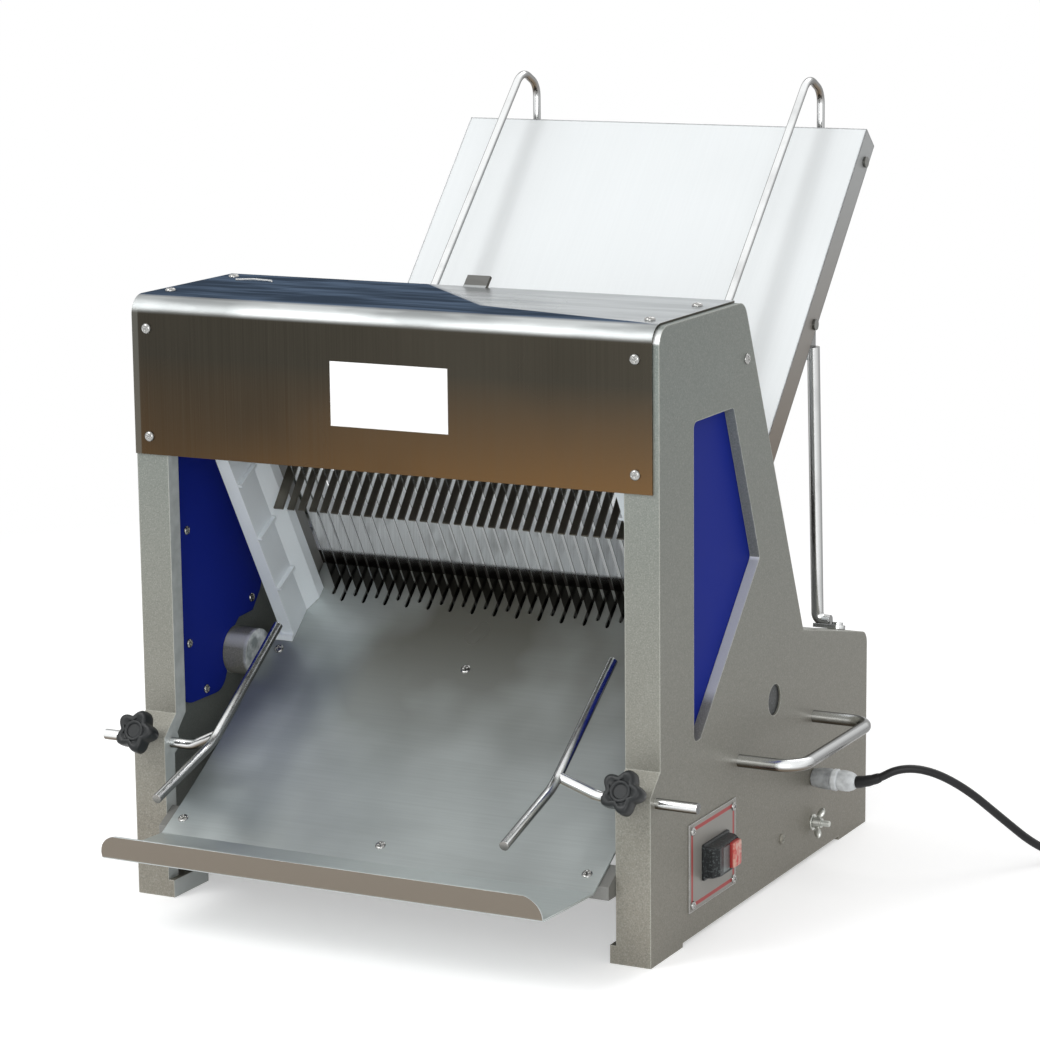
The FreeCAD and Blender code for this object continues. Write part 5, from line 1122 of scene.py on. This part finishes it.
class SLICER_OT_switch(bpy.types.Operator):
    """Switch plate, box and button"""
    bl_idname = "slicer.switch"
    bl_label = "Switch"

    BOX = [(0.0, 0.0290, 0.0170), (0.0020, 0.0290, 0.0170), (0.0024, 0.0284, 0.0164),
           (0.0026, 0.0268, 0.0152), (0.0095, 0.0262, 0.0146), (0.0135, 0.0228, 0.0136),
           (0.0148, 0.0216, 0.0132)]
    POCKET = [(0.0098, 0.0093, 0.0123), (0.0160, 0.0093, 0.0123)]
    POCKET_SHIFT = (0.0100, 0.0010, 0)
    BUTTON = [(0.0, 0.0090, 0.0120), (0.0072, 0.0090, 0.0120), (0.0082, 0.0086, 0.0116),
              (0.0087, 0.0078, 0.0108)]

    def execute(self, context):
        dress(switch_plate_finish(), "switch_plate")
        moulding = switch_moulding_finish()
        dress(moulding, "hole_plugs")
        dress(cast_finish("bare_lacquer", finishes().bare, 0.0, 0.3, relief=0.05, wear_and_highlight=0.0), "bare_plate")
        pocket = rounded_box(self.POCKET, 0.0016)
        bmesh.ops.translate(pocket, vec=self.POCKET_SHIFT, verts=pocket.verts)
        box = carve(rounded_box(self.BOX, 0.0022), pocket, "switch_box_detail")
        new_piece("switch_box_detail", box, moulding, "housing", ["switch_box"],
                  on_side(SWITCH_SPOT))
        new_piece("switch_button_detail", rounded_box(self.BUTTON, 0.0018), button_finish(), "switch_button",
                  ["switch_button"], on_side(BUTTON_SPOT))
        return {"FINISHED"}


class SLICER_OT_earth(bpy.types.Operator):
    """Threaded earth stud with its wing nut"""
    bl_idname = "slicer.earth"
    bl_label = "Earth stud"

    FOOT = [(0, 0), (0.0080, 0), (0.0080, 0.0011), (0.0076, 0.0015), (0.0030, 0.0015)]
    THREAD = [(0.0030 - 0.0003 * (step % 2), 0.0020 + 0.0005 * step) for step in range(31)]
    TIP = [(0.0024, 0.0180), (0, 0.0180)]
    NUT = [(0.0033, 0), (0.0055, 0), (0.0055, 0.0012), (0.0049, 0.0040), (0.0046, 0.0080), (0.0033, 0.0080)]
    EAR_SIZE = (0.0014, 0.0056, 0.0036, 1)
    EAR_OUT = 0.0097
    EAR_UP = 0.0054
    EAR_LEAN = 0.35

    def execute(self, context):
        zinc = cast_finish("zinc_plate", (0.50, 0.51, 0.48), 0.9, 0.3, grain=1200.0, cloud=90.0)
        stud = turned(self.FOOT + self.THREAD + self.TIP, 24)
        new_piece("earth_stud_detail", stud, zinc, "housing", ["earth_stud"], on_side(STUD_SPOT))
        nut = turned(self.NUT, 24, loop=True)
        for side in (1, -1):
            ear = bmesh.new()
            bmesh.ops.create_uvsphere(ear, u_segments=20, v_segments=12, radius=1)
            ear.transform(Matrix.Translation((0, self.EAR_OUT * side, self.EAR_UP))
                          @ Matrix.Rotation(self.EAR_LEAN * side, 4, "X") @ Matrix.Diagonal(self.EAR_SIZE))
            absorb(nut, ear)
        new_piece("wing_nut_detail", nut, zinc, "wing_nut", ["wing_nut"], on_side(NUT_SPOT, NUT_TURN))
        return {"FINISHED"}


class SLICER_OT_gland(bpy.types.Operator):
    """Cord gland with its nut and dome"""
    bl_idname = "slicer.gland"
    bl_label = "Cord gland"

    PROFILE = [(0, 0), (0.0078, 0), (0.0086, 0.0008), (0.0101, 0.0090), (0.0105, 0.0170), (0.0101, 0.0196),
               (0.0093, 0.0200), (0.0093, 0.0206), (0.0103, 0.0210), (0.0109, 0.0218), (0.0109, 0.0256),
               (0.0103, 0.0264), (0.0092, 0.0268), (0.0092, 0.0276), (0.0099, 0.0281), (0.0102, 0.0300),
               (0.0102, 0.0345), (0.0097, 0.0385), (0.0084, 0.0420), (0.0068, 0.0442), (0.0055, 0.0450),
               (0.0045, 0.0448), (0.0043, 0.0400), (0, 0.0400)]

    NUT = (0.0208, 0.0266)
    NUT_FLATS = 6
    NUT_REACH = 1.10
    DOME = (0.0278, 0.0390)
    DOME_RIBS = 12
    RIB_DEPTH = 0.018

    def execute(self, context):
        gland = turned(self.PROFILE, 72, wave=self.facets)
        new_piece("cable_gland_detail", gland, gland_finish(), "housing", ["cable_gland"],
                  on_side(GLAND_SPOT), 25)
        return {"FINISHED"}

    def facets(self, angle, height):
        """Flats on the nut and shallow ribs round the dome."""
        if self.NUT[0] < height < self.NUT[1]:
            half = math.pi / self.NUT_FLATS
            turn = angle % (2 * half) - half
            return min(1.0, math.cos(half) / math.cos(turn) * self.NUT_REACH)
        if self.DOME[0] < height < self.DOME[1]:
            return 1 - self.RIB_DEPTH * (0.5 + 0.5 * math.cos(self.DOME_RIBS * angle))
        return 1.0


class SLICER_OT_plug(bpy.types.Operator):
    """Mains plug with a ribbed neck, waisted grip and two pins"""
    bl_idname = "slicer.plug"
    bl_label = "Plug"

    SPOT = from_leg(619, 407, 18)
    RIBS = 5
    RIB_PITCH = 0.0046
    GRIP = [(0.0105, 0.0250), (0.0140, 0.0275), (0.0150, 0.0330), (0.0148, 0.0400), (0.0156, 0.0460),
            (0.0172, 0.0500), (0.0178, 0.0530), (0.0178, 0.0562), (0.0170, 0.0578), (0, 0.0580)]
    PIN = [(0, 0.0575), (0.0024, 0.0575), (0.0024, 0.0765), (0.0018, 0.0780), (0, 0.0780)]
    PIN_OFFSET = 0.0095
    WAIST = 0.040
    WAIST_HALF = 0.012
    WAIST_DEPTH = 0.16

    def execute(self, context):
        neck = [(0, 0), (0.0046, 0)]
        for rib in range(self.RIBS):
            inner = 0.0050 + 0.0004 * rib
            foot = self.RIB_PITCH * rib
            neck += [(inner, foot + 0.0015), (inner + 0.0006, foot + 0.0020),
                     (inner + 0.0006, foot + 0.0045), (inner, foot + 0.0050)]
        place = Matrix.Translation(self.SPOT) @ Matrix.Rotation(math.pi / 2, 4, "X")
        body = turned(neck + self.GRIP, 48, wave=self.waist)
        sheath = moulded_finish("cord_sheath", finishes().sheath, 0.42, grain=900.0, dust=0.06)
        new_piece("plug_detail", body, sheath, "housing", ["plug"], place)
        pin = to_mesh(turned(self.PIN, 20), "plug_pin")
        spots = [Matrix.Translation((side * self.PIN_OFFSET, 0, 0)) for side in (1, -1)]
        pins = gather([(pin, spot) for spot in spots], "plug_pins")
        plated = brushed_finish("pin_plate", (0.66, 0.66, 0.64), 0.28, stretch=(400.0, 400.0, 40.0))
        new_piece("plug_pins", pins, plated, "housing", [], place)
        return {"FINISHED"}

    def waist(self, angle, height):
        """Grip flattened above and below."""
        share = max(0.0, 1 - abs(height - self.WAIST) / self.WAIST_HALF)
        return 1 - self.WAIST_DEPTH * share * math.sin(angle) ** 2


class SLICER_OT_cord(bpy.types.Operator):
    """Mains cord with its coil and strain relief"""
    bl_idname = "slicer.cord"
    bl_label = "Mains cord"

    ROUTE = [
        (313, 375, 81.5), (331, 375.5, 84.5), (354, 381, 99), (381, 393, 97), (411, 411, 78),
        (441, 432, 46), (468, 452, 17), (494, 468, 4.2), (524, 476, 4.2), (556, 477, 4.2),
    ]
    COIL = (575, 425)
    TURNS_DOWN = 2
    TURNS_UP = 0.25
    TURNS = 4.25
    STEPS = 16
    PLAY = 0.2
    LEAD_OUT = (12, 22)
    LEAD_LIFT = 2.5
    PLUG_HEIGHT = 18
    RELIEF_RADIUS = 0.0060
    RELIEF_TAPER = 0.0014
    RELIEF_RIB = 0.0003

    def execute(self, context):
        sheath = bpy.data.materials["cord_sheath"]
        points = [from_leg(*point) for point in self.ROUTE] + self.coil_turns()
        curve = bpy.data.curves.new("mains_cord", "CURVE")
        curve.dimensions = "3D"
        spline = curve.splines.new("NURBS")
        spline.points.add(len(points) - 1)
        for control, point in zip(spline.points, points):
            control.co = (*point, 1)
        spline.order_u = 3
        spline.use_endpoint_u = True
        curve.resolution_u = 8
        curve.bevel_depth = sizes().cord / 2
        curve.bevel_resolution = 4
        curve.use_fill_caps = True
        cord = bpy.data.objects.new("mains_cord", curve)
        context.scene.collection.objects.link(cord)
        curve.materials.append(sheath)
        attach(cord, "housing")
        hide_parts("cord", "cord_coil")
        new_piece("strain_relief_detail", self.strain_relief(curve), sheath, "housing", [])
        return {"FINISHED"}

    def strain_relief(self, curve):
        """A ribbed sleeve that tapers along the cord's own line."""
        line = curve.copy()
        line.bevel_depth = 0
        line.use_fill_caps = False
        lead = bpy.data.objects.new("lead_line", line)
        mesh = bpy.data.meshes.new_from_object(lead)
        centre = [vert.co.copy() for vert in mesh.vertices]
        bpy.data.objects.remove(lead)
        bpy.data.meshes.remove(mesh)
        bpy.data.curves.remove(line)
        taken = [centre[0]]
        run = [0.0]
        for place in centre[1:]:
            if run[-1] > sizes().relief:
                break
            run.append(run[-1] + (place - taken[-1]).length)
            taken.append(place)
        radii = [self.RELIEF_RADIUS - self.RELIEF_TAPER * along / run[-1]
                 + (self.RELIEF_RIB if index % 2 else 0.0) for index, along in enumerate(run)]
        return sleeve(taken, radii)

    def coil_turns(self):
        """Two turns inwards on the floor, a quarter turn up, two turns outwards on top."""
        middle = sizes().coil * 1000
        thick = sizes().cord * 1000
        low = thick / 2 + self.PLAY
        high = thick * 1.5 + 2 * self.PLAY
        x, y = self.COIL
        points = []
        for index in range(1, int(self.TURNS * self.STEPS) + 1):
            turn = index / self.STEPS
            climbed = min(1.0, max(0.0, (turn - self.TURNS_DOWN) / self.TURNS_UP))
            inwards = min(turn, self.TURNS_DOWN) - 1
            outwards = max(0.0, turn - self.TURNS_DOWN - self.TURNS_UP)
            radius = middle + thick * (outwards - inwards)
            angle = math.pi / 2 - 2 * math.pi * turn
            points.append(from_leg(x + radius * math.cos(angle), y + radius * math.sin(angle),
                                   low + (high - low) * climbed))
        for ahead, height in zip(self.LEAD_OUT, (thick * 1.5 + self.LEAD_LIFT, self.PLUG_HEIGHT)):
            points.append(from_leg(x + middle + thick, y - ahead, height))
        return points


class SLICER_PT_panel(bpy.types.Panel):
    """The slicer's pieces, sizes and colours"""
    bl_idname = "SLICER_PT_panel"
    bl_label = "Bread slicer"
    bl_space_type = "VIEW_3D"
    bl_region_type = "UI"
    bl_category = "Slicer"

    def draw(self, context):
        for operator in OPERATORS:
            self.layout.operator(operator.bl_idname)
        for group in (context.scene.slicer_finishes, context.scene.slicer_sizes, context.scene.slicer_studio):
            for name in group.bl_rna.properties.keys():
                if name not in ("rna_type", "name"):
                    self.layout.prop(group, name)


OPERATORS = (
    SLICER_OT_stage, SLICER_OT_plug, SLICER_OT_cord, SLICER_OT_gland, SLICER_OT_earth, SLICER_OT_castings,
    SLICER_OT_sheets, SLICER_OT_blades, SLICER_OT_trim, SLICER_OT_drive, SLICER_OT_rods, SLICER_OT_screws,
    SLICER_OT_knobs, SLICER_OT_switch,
)
GROUPS = {"slicer_finishes": SlicerFinishes, "slicer_sizes": SlicerSizes, "slicer_studio": SlicerStudio}


def register():
    for item in (*GROUPS.values(), *OPERATORS, SLICER_PT_panel):
        bpy.utils.register_class(item)
    for name, group in GROUPS.items():
        setattr(bpy.types.Scene, name, bpy.props.PointerProperty(type=group))


def unregister():
    for name in GROUPS:
        delattr(bpy.types.Scene, name)
    for item in reversed((*GROUPS.values(), *OPERATORS, SLICER_PT_panel)):
        bpy.utils.unregister_class(item)


def main():
    """Dress the whole slicer."""
    register()
    brushed_lines_group()
    surface_grain_group()
    rounded_edge_group()
    bpy.ops.slicer.stage()
    bpy.ops.slicer.plug()
    bpy.ops.slicer.cord()
    bpy.ops.slicer.gland()
    bpy.ops.slicer.earth()
    bpy.ops.slicer.castings()
    bpy.ops.slicer.sheets()
    bpy.ops.slicer.blades()
    bpy.ops.slicer.trim()
    bpy.ops.slicer.drive()
    bpy.ops.slicer.rods()
    bpy.ops.slicer.screws()
    bpy.ops.slicer.knobs()
    bpy.ops.slicer.switch()


if __name__ == "__main__":
    main()
